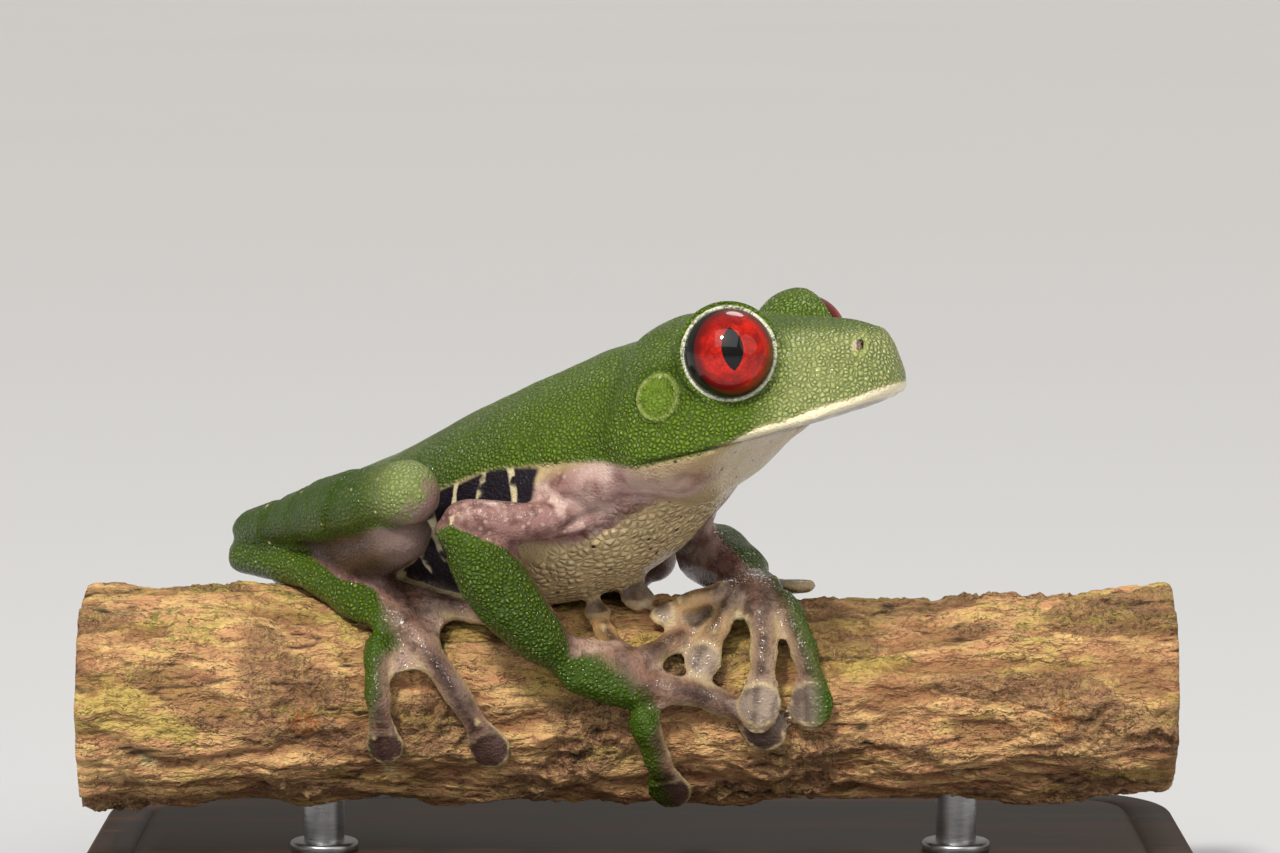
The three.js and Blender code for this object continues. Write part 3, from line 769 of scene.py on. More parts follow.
# the body's and limbs' forms: how high or deep each one is, and its width, then the lines some of them follow
bodyForms = {
    "knuckle": 0.14,
    "tendon": (0.13, 0.3),
    "padRim": (0.1, 0.17),
    "padCrease": (-0.08, 0.2),
    "padSeam": (-0.07, 0.16),
    "armBulge": (0.45, 1.7),
    "armBelow": (-0.5, 0.6),
    "armAbove": (-0.3, 0.6),
    "armpit": 0.45,
    "groin": 0.3,
    "elbow": 0.2,
    "fold": 0.15,
    "wrinkle": 0.13,
    "greenFade": 0.8,
}
armLines = {
    "armBulge": [(-12.0, -14.0, 33.0), (-6.0, -14.4, 34.6), (-1.5, -15.4, 36.2)],
    "armBelow": [(-10.0, -13.4, 30.4), (-6.0, -13.8, 32.2), (-1.5, -15.0, 34.3), (2.2, -16.4, 36.0)],
    "armAbove": [(-13.0, -11.5, 35.0), (-7.5, -12.4, 36.7), (-3.0, -14.0, 37.6)],
}
# small soft knobs seen from the front: the part, its place in X and Z, radius, height
knobs = [
    ("forearm_right", (-14.45, 33.25), 0.75, 0.3),
    ("hand_left", (7.75, 24.6), 0.55, 0.3),
]
# soft parts drawn out: the solids they belong to, place, reach, and how far they go
armNodes, legNodes = ("upper_arm_right", "forearm_right"), ("shank_right", "tarsus_right")
pulls = {
    "elbow": (armNodes, (-13.4, -13.2, 33.2), 3.6, (-1.6, 0.0, 0.55)),
    "elbowCorner": (armNodes, (-15.2, -13.4, 32.2), 2.0, (-0.6, 0.0, 0.2)),
    "heelTop": (legNodes, (-33.0, 6.8, 31.9), 2.6, (0.45, 0.0, -1.1)),
    "heelNotch": (legNodes, (-32.6, 7.0, 28.9), 1.5, (-0.4, 0.1, 0.0)),
}


def digitFields(points, node):
    # for each point of a hand or foot: its nearest digit, the share along it, and how far to its side it lies
    best = np.full(len(points), 1e9)
    found = {name: np.zeros(len(points)) for name in ("which", "share", "aside", "above", "toPad")}
    for number, (marks, pad) in enumerate(digits[node]):
        path, outward, places = digitPath(marks)
        ahead = np.gradient(path, axis=0)
        ahead /= np.linalg.norm(ahead, axis=1)[:, None]
        squared = ((points[:, None, :] - path[None, :, :]) ** 2).sum(axis=2)
        index = squared.argmin(axis=1)
        away = np.sqrt(squared.min(axis=1))
        offset = points - path[index]
        closer = away < best
        best = np.where(closer, away, best)
        values = {
            "which": number,
            "share": places[index],
            "aside": (offset * np.cross(ahead, outward)[index]).sum(axis=1),
            "above": (offset * outward[index]).sum(axis=1),
            "toPad": np.linalg.norm(points - path[-1], axis=1) - pad,
        }
        for name, value in values.items():
            found[name] = np.where(closer, value, found[name])
    found["away"] = best
    return found


digitsOf = {node: digitFields(points, node) for node in digits}


def limbEnds(node, neighbour):
    # the two ends of a limb's long axis, the body's end first: the one at the limb it hangs on, or for a
    # shank, which lies folded along the thigh, the one that isn't at its tarsus
    own = np.array([v.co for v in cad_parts[node].data.vertices]) / mm
    centre = own.mean(axis=0)
    axis = np.linalg.svd(own - centre, full_matrices=False)[2][0]
    reach = (own - centre) @ axis
    ends = centre + reach.min() * axis, centre + reach.max() * axis
    other = np.array([v.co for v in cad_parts[neighbour].data.vertices]) / mm
    gaps = [np.linalg.norm(other - end, axis=1).min() for end in ends]
    return ends if (gaps[0] < gaps[1]) != neighbour.startswith("tarsus") else ends[::-1]


def shapeDigits(shares):
    # knuckles and a tendon along each digit, and a low rim, a crease and a seam at its pad
    push = 0
    for node, found in digitsOf.items():
        knuckles = ridge(found["share"] - 0.56, 0.09) + ridge(found["share"] - 0.2, 0.1)
        near = 1 - eased(found["away"], 1.2, 1.7)
        onTop = eased(found["above"], 0, 0.4)
        tendon = formed(bodyForms["tendon"], found["aside"]) * (1 - eased(found["share"], 0.72, 0.82))
        tendon = tendon * eased(found["above"], 0, 0.3)
        rim = formed(bodyForms["padRim"], found["toPad"] + 0.25) * eased(found["above"], -0.2, 0.3)
        crease = formed(bodyForms["padCrease"], found["toPad"] - 0.2) * onTop
        seam = formed(bodyForms["padSeam"], found["aside"]) * (found["toPad"] < -0.3) * onTop
        grown = (bodyForms["knuckle"] * knuckles + tendon) * near
        push = push + shares[node] * (grown + rim + crease + seam)
    return push


def shapeShanks(points, shares):
    # shallow slanting wrinkles across the shanks, where the muscle bulges between them
    push = 0
    for side in eyeMiddles:
        start, end = limbEnds("shank_" + side, "tarsus_" + side)
        far = (points - start) @ unit(end - start) + 0.5 * points[:, 2]
        sway = 0.8 * np.sin(0.9 * points[:, 1] + 0.6 * points[:, 2])
        waves = 0.35 * np.sin(0.7 * far + 1.3 * sway) - ridge(np.sin(1.25 * far + sway) - 1, 0.35)
        push = push + shares["shank_" + side] * bodyForms["wrinkle"] * waves
    return push


def shapeBody(thing, points, shares):
    for nodes, place, reach, way in pulls.values():
        near = sum(shares[node] for node in nodes)
        near = near * (1 - eased(np.linalg.norm(points - place, axis=1), 0.2, reach))
        points = points + near[:, None] * np.array(way)
    normals = normalsOf(thing)
    push = shapeDigits(shares) + shapeShanks(points, shares)
    # the upper arm lies along the breast, with a crease under it and a softer one over it
    body = shares["trunk"] + shares["upper_arm_right"] + shares["head"] + shares["lower_jaw"]
    for name, line in armLines.items():
        push += body * formed(bodyForms[name], distanceToPath(points, line))
    # creases where two parts meet: four times the product of their shares is 1 right between them
    for side in eyeMiddles:
        arm, thigh = shares["upper_arm_" + side], shares["thigh_" + side]
        push -= 4 * bodyForms["armpit"] * arm * shares["trunk"]
        push -= 4 * bodyForms["groin"] * thigh * (shares["trunk"] + shares["shank_" + side])
        push -= 4 * bodyForms["elbow"] * arm * shares["forearm_" + side]
    for node, place, radius, height in knobs:
        away = np.linalg.norm(points[:, [0, 2]] - place, axis=1)
        push += shares[node] * height * (1 - eased(away, 0.1, radius))
    # soft folds over the flank and the throat
    for i in np.flatnonzero(shares["trunk"] + shares["lower_jaw"] > 0.3):
        push[i] += bodyForms["fold"] * noise.fractal(Vector(points[i] / 5.5), 0.9, 2.1, 3)
    return points + normals * push[:, None]


# heights over the trunk's middle line, by how far forward: where the green back ends, where the belly starts
backLine = [(8, -0.6), (0, -1.3), (-8, -2.4), (-16, -5.6), (-24, -7.8), (-30, -10), (-33, -14), (-39, -18)]
bellyLine = [
    (8, -2.6), (3, -4.2), (-1, -7.2), (-6, -10.2),
    (-12, -12.2), (-20, -13.2), (-32, -14), (-39, -14),
]
points = shapeBody(frogSkin, points, shares)
points[:, 2] = np.minimum(points[:, 2], cadBox[1][2] / mm - 0.005)  # the lids stay inside the height
movePoints(frogSkin, points)
print("body shaped")


def thinSkin(thing):
    # takes points out where the skin is nearly flat, which keeps the piece light
    triangles = sum(len(polygon.vertices) - 2 for polygon in thing.data.polygons)
    thin = thing.modifiers.new("thin", "DECIMATE")
    thin.ratio = min(1, skin["triangles"] / triangles)
    applyAll(thing)


thinSkin(frogSkin)
points = pointsOf(frogSkin)
shares = sharesOf(points)
digitsOf = {node: digitFields(points, node) for node in digits}
print("skin thinned:", len(frogSkin.data.polygons), "faces")

# the skin's colour fields, most of them in millimetres inside their own borders
# where each limb is green: the limb that tells its ends, the way its green side faces, and how far round the
# green goes at its two ends, as the cosine it stops at
greenSides = {
    "upper_arm_right": ("trunk", (0, 0.6, 0.9), 0.85, 0.9),
    "upper_arm_left": ("trunk", (0.3, 0.6, 0.8), 0.6, 0.45),
    "forearm_right": ("upper_arm_right", (-0.55, -0.75, -0.3), -0.6, -0.4),
    "forearm_left": ("upper_arm_left", (0.75, 0.1, 0.65), 0.35, 0.3),
    "thigh_right": ("trunk", (-0.1, -0.2, 1), 0.7, 0.75),
    "thigh_left": ("trunk", (-0.1, 0.2, 1), 0.7, 0.75),
    "shank_right": ("tarsus_right", (-0.3, -0.7, 0.6), -0.3, -0.45),
    "shank_left": ("tarsus_left", (0.1, 0.8, 0.6), -0.3, -0.45),
    "tarsus_right": ("shank_right", (-0.5, -0.65, 0.4), -0.3, 0.12),
    "tarsus_left": ("shank_left", (-0.2, 0.75, 0.5), -0.4, 0.0),
}
# how green runs on over a palm or sole: a place on its border, and the way the green lies, both in X and Z
palmGreens = {
    "hand_right": ((-2.7, 22.0), (-0.66, -0.75)),
    "foot_right": ((-19.8, 25.2), (-0.86, -0.51)),
}
# for each digit from the inner one: how cream its sides are, how pale its shaft is, how pale its pad is
digitTints = {
    "hand_right": ((1, 0.3, 0, 0), (0.5, 0.15, 0.05, 0.0), (0.6, 0.3, 0.15, 0.05)),
    "hand_left": ((1, 0.7, 0.2, 0.05), (1, 0.95, 0.8, 0.5), (1, 1, 0.9, 0.6)),
    "foot_right": ((1, 0.6, 0.1, 0, 0), (0.5, 0.4, 0.2, 0.1, 0.1), (0.5, 0.4, 0.2, 0.05, 0.05)),
    "foot_left": ((1, 0.7, 0.3, 0.2, 0.1), (0.6, 0.6, 0.5, 0.5, 0.4), (0.8, 0.8, 0.7, 0.9, 0.6)),
}
# the border between the green of the face and the cream under it, by how far forward
throatLine = [
    (-14, -9.4), (-8.3, -8.75), (-6.3, -8.65), (-1.2, -7.5), (1.5, -6.2), (3.1, -5.3),
    (4.5, -4.95), (7.1, -3.85), (9, -3.25), (10.4, -2.6), (11.4, -2.25), (13, -1.9),
]
# lines of lilac down the breast, from each armpit
breastRight = [(-6.5, -13.4, 33.6), (-2, -14.6, 35.6), (2.6, -16, 37)]
breastLeft = [(9.5, -6.0, 31.5), (5.0, -2.0, 32.5)]
outside = -2.0  # a field's value well outside its border


def limbGreen(points, node):
    # millimetres inside the green of a limb, how far each point is from its end, and the share along it
    neighbour, way, first, last = greenSides[node]
    start, end = limbEnds(node, neighbour)
    line = end - start
    length = np.linalg.norm(line)
    share = (points - start) @ line / length**2
    apart = points - start - np.maximum(share, 0)[:, None] * line
    stop = first + (last - first) * np.clip(share, 0, 1)
    green = apart @ unit(way) - stop * np.linalg.norm(apart, axis=1)
    return green, np.linalg.norm(points - end, axis=1), share


def bendOf(thing, points, normals):
    # how sharply the skin bends outward at each point, as one over millimetres
    pairs = np.empty(len(thing.data.edges) * 2, np.int32)
    thing.data.edges.foreach_get("vertices", pairs)
    first, second = pairs.reshape(-1, 2).T
    line = points[second] - points[first]
    squared = np.maximum((line**2).sum(axis=1), 1e-6)
    count = np.bincount(first, minlength=len(points)) + np.bincount(second, minlength=len(points))
    falls = -(normals[first] * line).sum(axis=1) / squared, (normals[second] * line).sum(axis=1) / squared
    bend = np.bincount(first, falls[0], len(points)) + np.bincount(second, falls[1], len(points))
    bend = 2 * bend / np.maximum(count, 1)
    for _ in range(3):
        around = np.bincount(first, bend[second], len(points)) + np.bincount(second, bend[first], len(points))
        bend = 0.4 * bend + 0.6 * around / np.maximum(count, 1)
    return bend


def limbFields(points, shares, greens):
    # the limbs' greens, how far the limbs' ends are, the knees, where the green breaks up and a painted
    # highlight lies, and the thighs' ends by the knee, paler as partly painted light
    toEnd, share = {}, {}
    for node in greenSides:
        greens[node], toEnd[node], share[node] = limbGreen(points, node)
    knees, kneeward = np.zeros((2, len(points)))
    for side in eyeMiddles:
        shank, thigh = "shank_" + side, "thigh_" + side
        knees += shares[shank] * (1 - eased(share[shank], 0.02, 0.24))
        under = 1 - eased(points[:, 2] - limbEnds(shank, "tarsus_" + side)[0][2], -1.6, 0.2)
        greens[shank] = greens[shank] - 1.2 * under * (1 - eased(share[shank], -0.05, 0.16))
        kneeward += 0.8 * shares[thigh] * eased(share[thigh], 0.77, 0.95)
        kneeward += 0.8 * shares[shank] * (1 - eased(share[shank], 0.0, 0.2))
    return toEnd, {"knees": knees, "kneeward": kneeward}


def digitGreen(points, node, greens, toEnd):
    # the outer digit is green along its outer side, and the limb's green runs on over the palm or the sole
    found = digitsOf[node]
    outer = found["aside"] * (1 if node.endswith("right") else -1)
    fading = (1.6 if node.startswith("foot") else 0.5) * eased(found["share"], 0.4, 0.95)
    onOuter = found["which"] == len(digitTints[node][0]) - 1
    inGreen = np.where(onOuter, 0.25 + outer - fading, -1.5)
    if node in palmGreens:
        (x, z), (wayX, wayZ) = palmGreens[node]
        onPalm = (points[:, 0] - x) * wayX + (points[:, 2] - z) * wayZ
        fade = eased(found["share"], 0.06, 0.3)
        return onPalm * (1 - fade) + inGreen * fade
    limb = node.replace("hand", "forearm").replace("foot", "tarsus")
    runOn = np.minimum(greens[limb], 1.3) - bodyForms["greenFade"] * np.maximum(toEnd[limb] - 1, 0)
    return np.maximum(inGreen, runOn)


def handFields(points, shares):
    # the tints of hands and feet: cream sides, pale shafts and pads, webs, and dark lines along the middles
    names = ("inner", "pallor", "fringe", "web", "middleLine", "onDigits")
    marks = dict(zip(names, np.zeros((len(names), len(points)))))
    marks["pad"] = np.full(len(points), outside)
    for node, found in digitsOf.items():
        own = shares[node]
        share, aside, above, toPad = (found[name] for name in ("share", "aside", "above", "toPad"))
        tint, pale, padPale = (np.array(row)[found["which"].astype(int)] for row in digitTints[node])
        pale = pale * eased(share, 0.08, 0.35)
        onPad = 1 - eased(toPad, -0.3, 0.1)
        shaft = own * eased(share, 0.12, 0.35) * eased(toPad, 0.1, 0.8)
        padEdge = ridge(toPad + 0.12, 0.13) * eased(above, -0.5, 0.1)
        near, least = (0.4, 0.55) if node.startswith("foot") else (0.7, 0.35)
        between = eased(found["away"], near, 1.35) * (least + (1 - least) * eased(share, 0.03, 0.2))
        padTop = own * onPad * eased(above, 0, 0.4)
        marks["inner"] += own * tint * eased(share, 0.2, 0.45) * (1 - eased(found["away"], 1.3, 1.8))
        marks["pallor"] += own * (pale * (1 - onPad) + padPale * onPad)
        marks["onDigits"] += own
        marks["fringe"] += shaft * ridge(np.abs(aside) - 1.1, 0.26) * (0.7 + 0.3 * pale)
        marks["fringe"] += own * padEdge * (0.12 + 0.7 * padPale)
        marks["web"] += own * between * (1 - onPad) * eased(above, -0.9, -0.3)
        marks["middleLine"] += shaft * ridge(aside - 0.1, 0.5) * eased(above, -0.1, 0.4)
        marks["middleLine"] += padTop * (0.75 * ridge(aside - 0.35, 0.3) + 0.4 * eased(aside, 0.3, 1.2))
        marks["pad"] = np.maximum(marks["pad"], np.minimum(-toPad, 5 * (own - 0.5)))
    return marks


def faceFields(points, onHead):
    # lip stripe, chin, lids' rims, nostrils and eardrums
    ahead, aside, height = inHead(points)
    flat = np.stack([ahead, height], axis=1)
    lip = height - along(face["mouth"], ahead)
    stripe = np.minimum(lip, along(throatLine, ahead) - height) - 2 * (1 - eased(ahead, -2.5, 1.5))
    chin = np.minimum(-lip, 0.5 + lip) - 1.2 * (1 - eased(ahead, 6, 9))
    rim = np.full(len(points), outside)
    out, up, thick = face["lidBead"]
    for side in eyeMiddles:
        level, radial = lidPlaces(points, side)
        rim = np.maximum(rim, thick + 0.08 - np.hypot(radial - out, level - up))
    hole = nostrilHole(flat - face["nostril"])
    onSide = (np.abs(aside) > 1.6) & onHead
    # painted shade: the nostril openings and the mouth's crease are darkened
    dark = np.where(onSide, 1 - eased(hole, -0.07, 0.06), 0)
    dark = np.maximum(dark, np.where(onHead, 0.7 * ridge(lip, 0.07) * eased(ahead, -7, -5), 0))
    drum = np.linalg.norm(flat - face["eardrum"], axis=1)
    onCheek = (np.abs(aside) > 6.5) & onHead
    drumRing = np.where(onCheek, ridge(drum - face["eardrumRadius"], 0.14), 0)
    nostrilRing = np.where(onSide, ridge(hole - 0.2, 0.14), 0)
    # the nostril's rear wall catches the light
    rear = flat - face["nostril"] + (0.3, 0)
    wide, tall = face["nostrilSize"]
    rear = np.hypot(rear[:, 0] / wide, rear[:, 1] / tall)
    return {
        "lipStripe": np.where(onHead, stripe, outside),
        "chin": np.where(onHead, chin, outside),
        "lidRim": rim,
        "dark": dark,
        "ring": np.maximum(drumRing, nostrilRing),
        "nostrilPale": np.where(onSide, 1 - eased(rear, 0.7, 1.2), 0),
        "drum": np.where(onCheek, face["eardrumRadius"] - drum, outside),
    }


def bodyFields(points, shares, headShare):
    # lilac over the arms and the breast beside them, paler by the breast and, as painted light, over the left
    # upper arm; dark flanks behind the arms, cobbles on the belly
    back, _, rise = inTrunk(points)
    trunk = shares["trunk"]
    breast = 2.7 - distanceToPath(points, breastRight), 2.3 - distanceToPath(points, breastLeft)
    limbs = 1 - trunk - headShare
    flanks = [
        along(backLine, back) - rise,
        rise - along(bellyLine, back) + 0.3,
        -3.4 - back - 0.9 * np.maximum(-5.5 - rise, 0),
        0.5 * (back + 29),
        5 * (trunk - 0.5),
    ]
    blush = 1 - eased(distanceToPath(points, breastRight[1:]), 1.5, 4.5)
    return {
        "lilac": (trunk + headShare * 0.6) * np.maximum(*breast) + 3 * limbs,
        "flank": np.min(flanks, axis=0),
        # paler near the breast; over the left upper arm the paleness is painted light against the shade it
        # lies in
        "breastPaleAndArmLight": np.maximum(blush, 1.3 * shares["upper_arm_left"]),
        "belly": trunk * eased(along(bellyLine, back) - rise, -0.6, 1.2),
    }


def knobField(thing, points, shares):
    field = np.full(len(points), outside)
    facing = normalsOf(thing)[:, 1] < 0.2
    for node, place, radius, _ in knobs:
        away = np.hypot(points[:, 0] - place[0], (points[:, 2] - place[1]) * 1.4)
        own = shares[node] + shares.get(node.replace("forearm", "upper_arm"), 0) > 0.6
        field = np.maximum(field, np.where(own & facing, radius * 0.8 - away, outside))
    return field


def paintFields(thing, points, shares):
    ahead, _, height = inHead(points)
    back, _, rise = inTrunk(points)
    headShare = headShareOf(shares)
    onHead = headShare > 0.5
    headGreen = height - along(throatLine, ahead)
    greens = {"head": headGreen, "lower_jaw": headGreen, "trunk": rise - along(backLine, back)}
    for side in eyeMiddles:
        greens["eardrum_" + side] = headGreen + 3
    toEnd, fields = limbFields(points, shares, greens)
    for node in digitsOf:
        greens[node] = digitGreen(points, node, greens, toEnd)
    green = sum(shares[node] * np.clip(greens[node], -3, 3) for node in fleshNodes)
    fields |= handFields(points, shares) | faceFields(points, onHead) | bodyFields(points, shares, headShare)

    onDigits = fields.pop("onDigits")
    bend = bendOf(thing, points, normalsOf(thing))
    kinds = ("forearm", "thigh", "shank", "tarsus")
    pairs = {kind: shares[kind + "_right"] + shares[kind + "_left"] for kind in kinds}
    onSnout = eased(ahead, 1.5, 5.5) * (1 - eased(height, 0.9, 2.4))
    fields |= {
        "green": green,
        "knob": knobField(thing, points, shares),
        # the nose's grey-green, and over the knees the same pale green as a painted highlight
        "snout": np.where(onHead, onSnout, 0.6 * fields["knees"]),
        "digits": onDigits + 0.6 * shares["forearm_right"] + 0.25 * shares["forearm_left"],
        "brim": eased(bend, 0.75, 1.25) * eased(onDigits, 0.3, 0.7),
        # painted shade: the skin is darkened where it bends inward, in creases and dips
        "hollow": eased(-bend, 0.15, 0.9),
        "arms": 0.9 * pairs["forearm"] + 0.5 * onDigits,
        "thighs": pairs["thigh"] + 0.8 * pairs["shank"],
        "legs": pairs["shank"] + 0.4 * pairs["tarsus"],
    }
    for name, values in fields.items():
        writeField(thing, name, values)
    return list(fields)


skinFields = paintFields(frogSkin, points, shares)
print("skin marked:", len(skinFields), "fields")

# the skin's material: real widths in metres, then the patterns' scales in cycles for each metre, then tints
skinLook = {
    "granule": 0.00036,  # the green skin's close-packed granules
    "bellyGranule": 0.0007,
    "leatherGrain": 0.00024,  # the hands' grain, drawn coarser than real so that it shows
    "relief": 0.0002,
    "bendScale": 900.0,
    "bend": 0.00035,  # how far the bending carries the granules
    "poreScale": 5200.0,
    "mottleScale": 850.0,  # blotches over a millimetre wide
    "patchScale": 330.0,  # patches 3 mm wide
    "broadScale": 95.0,  # slow changes over 10 mm
    "barScale": 118.0,
    "leaf": "#64801a",
    # pale granule tops, partly painted glints
    "leafPaleTopAndGlint": "#88a433",
    # dark granule gaps, partly painted shade; also the painted shade in creases
    "leafGapAndShade": "#203506",
    "leafDeep": "#3f5a08",
    # darker green of the shanks, partly painted shade; also the darker green of hands and feet
    "leg": "#344f02",
    "snoutLeaf": "#a3ae6c",
    "snoutTop": "#cdd4a2",
    "snoutCrack": "#4e5c28",
    "drum": "#74902a",
    "ringPale": "#b3bd70",
    "legDot": "#d6c592",
    "throat": "#b8a67a",
    "cream": "#e8d2a2",
    # dark gaps between the belly's cobbles, partly painted shade
    "creamGapAndShade": "#96764c",
    "creamBlush": "#c6a487",
    "blot": "#2a211c",
    "lilac": "#96716c",
    "lilacPale": "#cfb3aa",
    "plum": "#6d4a44",
    "rust": "#8f5543",
    "hand": "#77503f",
    "handDark": "#33201b",
    "handPale": "#ab9486",
    "web": "#b99c8c",
    # the thighs' near-black, partly painted shade; thighPale by the knee, partly painted light
    "thigh": "#1f1317",
    "thighWarm": "#3f2a24",
    "thighPale": "#8a746b",
    "flankDark": "#1b151f",
    "flankBar": "#d3c8a4",
    "lip": "#efe6c4",
    "knuckle": "#dccda6",
    "chin": "#c2a078",
    "rim": "#e7e8d2",
    "inner": "#c9a36e",
    "padDark": "#4a3431",
    "padPale": "#a8988a",
    "edge": "#cdb98a",
    # the dark of the nostril openings and the mouth's crease, painted shade
    "nostril": "#3a1410",
    "nostrilPale": "#e3cbbb",
}


def border(add, values, rough, soft, roughness):
    # a field in millimetres turned into a mask, with its border broken up by a rough pattern
    return add("ease", add("sum", values, add("line", rough, roughness, -roughness / 2)), -soft, soft)


def sparseDots(add, place, scale, size, fewness):
    # small dots at some of the cells of a scattered pattern
    chance = add("above", add("red", add("cellTint", place, scale)), fewness)
    return add("times", add("ease", add("cells", place, scale), size, size * 0.6), chance)


def layered(tools, colour, *layers):
    # lays tints over a colour one after another, each by its own share
    add, look = tools
    for share, tint in layers:
        colour = add("mix", share, colour, look[tint] if isinstance(tint, str) else tint)
    return colour


def skinPatterns(add, look):
    # the patterns that the skin's tints and its relief share
    place = add("place")
    bending = add("scaled", add("cloudTint", place, look["bendScale"], 2.0), look["bend"])
    bent = add("moved", place, bending)
    return {
        "place": place,
        "granules": add("cells", bent, 1 / look["granule"], 0.85),
        "gaps": add("cellGaps", bent, 1 / look["granule"], 0.85),
        "bellyCells": add("cells", place, 1 / look["bellyGranule"], 0.85),
        "bellyGaps": add("cellGaps", place, 1 / look["bellyGranule"], 0.85),
        "leather": add("cells", bent, 1 / look["leatherGrain"], 0.85),
        "pores": add("cloud", place, look["poreScale"], 3.0),
        "mottle": add("cloud", place, look["mottleScale"], 3.0),
        "patch": add("cloud", place, look["patchScale"], 4.0),
        "broad": add("ease", add("cloud", place, look["broadScale"], 3.0), 0.35, 0.68),
    }


def greenTints(add, look, seen, field):
    # close-packed granules, their pale tops partly painted glints and their dark gaps partly painted shade;
    # greyer towards the nose, with a painted highlight over the knees; darker and smoother on the legs, the
    # darker green partly painted shade
    snout, legs, handed = field["snout"], field["legs"], field["digits"]
    deep = add("most", add("times", seen["broad"], 0.6), field["arms"])
    # the darker leg green over the shanks, partly painted shade, and over hands and feet
    limb = add("most", legs, add("ease", handed, 0.6, 1.0, 0.0, 0.8))
    leaf = layered((add, look), look["leaf"], (deep, "leafDeep"), (limb, "leg"), (snout, "snoutLeaf"))
    tops = add("mix", snout, look["leafPaleTopAndGlint"], look["snoutTop"])
    uneven = add("ease", seen["patch"], 0.32, 0.68, 0.12, 0.7)
    calmLegs, calmHands = add("ease", legs, 0.0, 1.0, 0.9, 0.35), add("ease", handed, 0.2, 0.9, 1.0, 0.3)
    # pale tops on the granules, partly painted glints
    topShare = add("times", add("ease", seen["granules"], 0.5, 0.1), uneven, calmLegs, calmHands)
    cracks = add("mix", snout, look["leafGapAndShade"], look["snoutCrack"])
    # dark gaps between the granules, partly painted shade
    crackShare = add("times", add("ease", seen["gaps"], 0.18, 0.0), add("ease", legs, 0.0, 1.0, 0.72, 0.5))
    crackShare = add("times", crackShare, add("ease", handed, 0.6, 1.0, 1.0, 0.5))
    return layered(
        (add, look),
        leaf,
        (topShare, tops),
        (crackShare, cracks),
        (add("times", border(add, field["drum"], seen["patch"], 0.1, 0.1), 0.6), "drum"),
        # painted shade in the creases of the green skin
        (add("times", field["hollow"], 0.35), "leafGapAndShade"),
        (add("times", sparseDots(add, seen["place"], 700.0, 0.13, 0.3), legs), "legDot"),
    )


def creamTints(add, look, seen, field):
    # cobbled belly, its dark gaps partly painted shade, smooth throat, a few dark specks
    return layered(
        (add, look),
        look["throat"],
        (field["belly"], "cream"),
        (add("times", add("ease", seen["patch"], 0.4, 0.7), 0.4), "creamBlush"),
        # dark gaps between the cobbles, partly painted shade
        (add("times", add("ease", seen["bellyGaps"], 0.2, 0.0), field["belly"], 0.4), "creamGapAndShade"),
        (sparseDots(add, seen["place"], 640.0, 0.15, 0.35), "blot"),
    )


def lilacTints(add, look, seen, field):
    # lilac arms, plum and rust in patches; glossy red-brown hands; near-black thighs, partly painted shade,
    # paler towards the knee, partly painted light
    place, mottle, patch, broad = (seen[name] for name in ("place", "mottle", "patch", "broad"))
    arms = layered(
        (add, look),
        look["lilac"],
        (add("ease", mottle, 0.44, 0.66), "plum"),
        (add("ease", patch, 0.44, 0.3), "lilacPale"),
        (add("times", sparseDots(add, place, 1500.0, 0.3, 0.3), 0.45), "lilacPale"),
        (add("times", field["breastPaleAndArmLight"], add("ease", patch, 0.7, 0.4)), "lilacPale"),
        (add("times", broad, add("ease", patch, 0.55, 0.75), 0.7), "rust"),
    )
    hands = layered(
        (add, look),
        look["hand"],
        (add("ease", patch, 0.4, 0.6), "handDark"),
        (field["pallor"], "handPale"),
        (add("times", field["web"], 0.8), "web"),
        (add("times", add("ease", mottle, 0.5, 0.68), 0.5), "handDark"),
        (add("times", add("ease", add("cloud", place, 2400.0, 3.0), 0.52, 0.64), 0.4), "handDark"),
    )
    warm = add("times", broad, 0.8)
    # near-black thighs as partly painted shade, paler by the knee as partly painted light
    thighs = layered((add, look), look["thigh"], (warm, "thighWarm"), (field["kneeward"], "thighPale"))
    return layered((add, look), arms, (field["digits"], hands), (field["thighs"], thighs))


def flankTints(add, look, seen):
    # cream bars across the dark flanks
    turned = add("turned", seen["place"], (0, 0.35, -trunkYaw))
    bars = add("waves", turned, look["barScale"], 4.2, 3.0, 1.3, bands_direction="X")
    broken = add("ease", add("cloud", seen["place"], 520.0, 3.0), 0.4, 0.52)
    return add("mix", add("times", add("ease", bars, 0.8, 0.98), broken), look["flankDark"], look["flankBar"])


def padTints(add, look, seen, field):
    blots = add("times", add("ease", seen["mottle"], 0.5, 0.66), 0.4)
    return layered((add, look), look["padDark"], (field["pallor"], "padPale"), (blots, "handDark"))


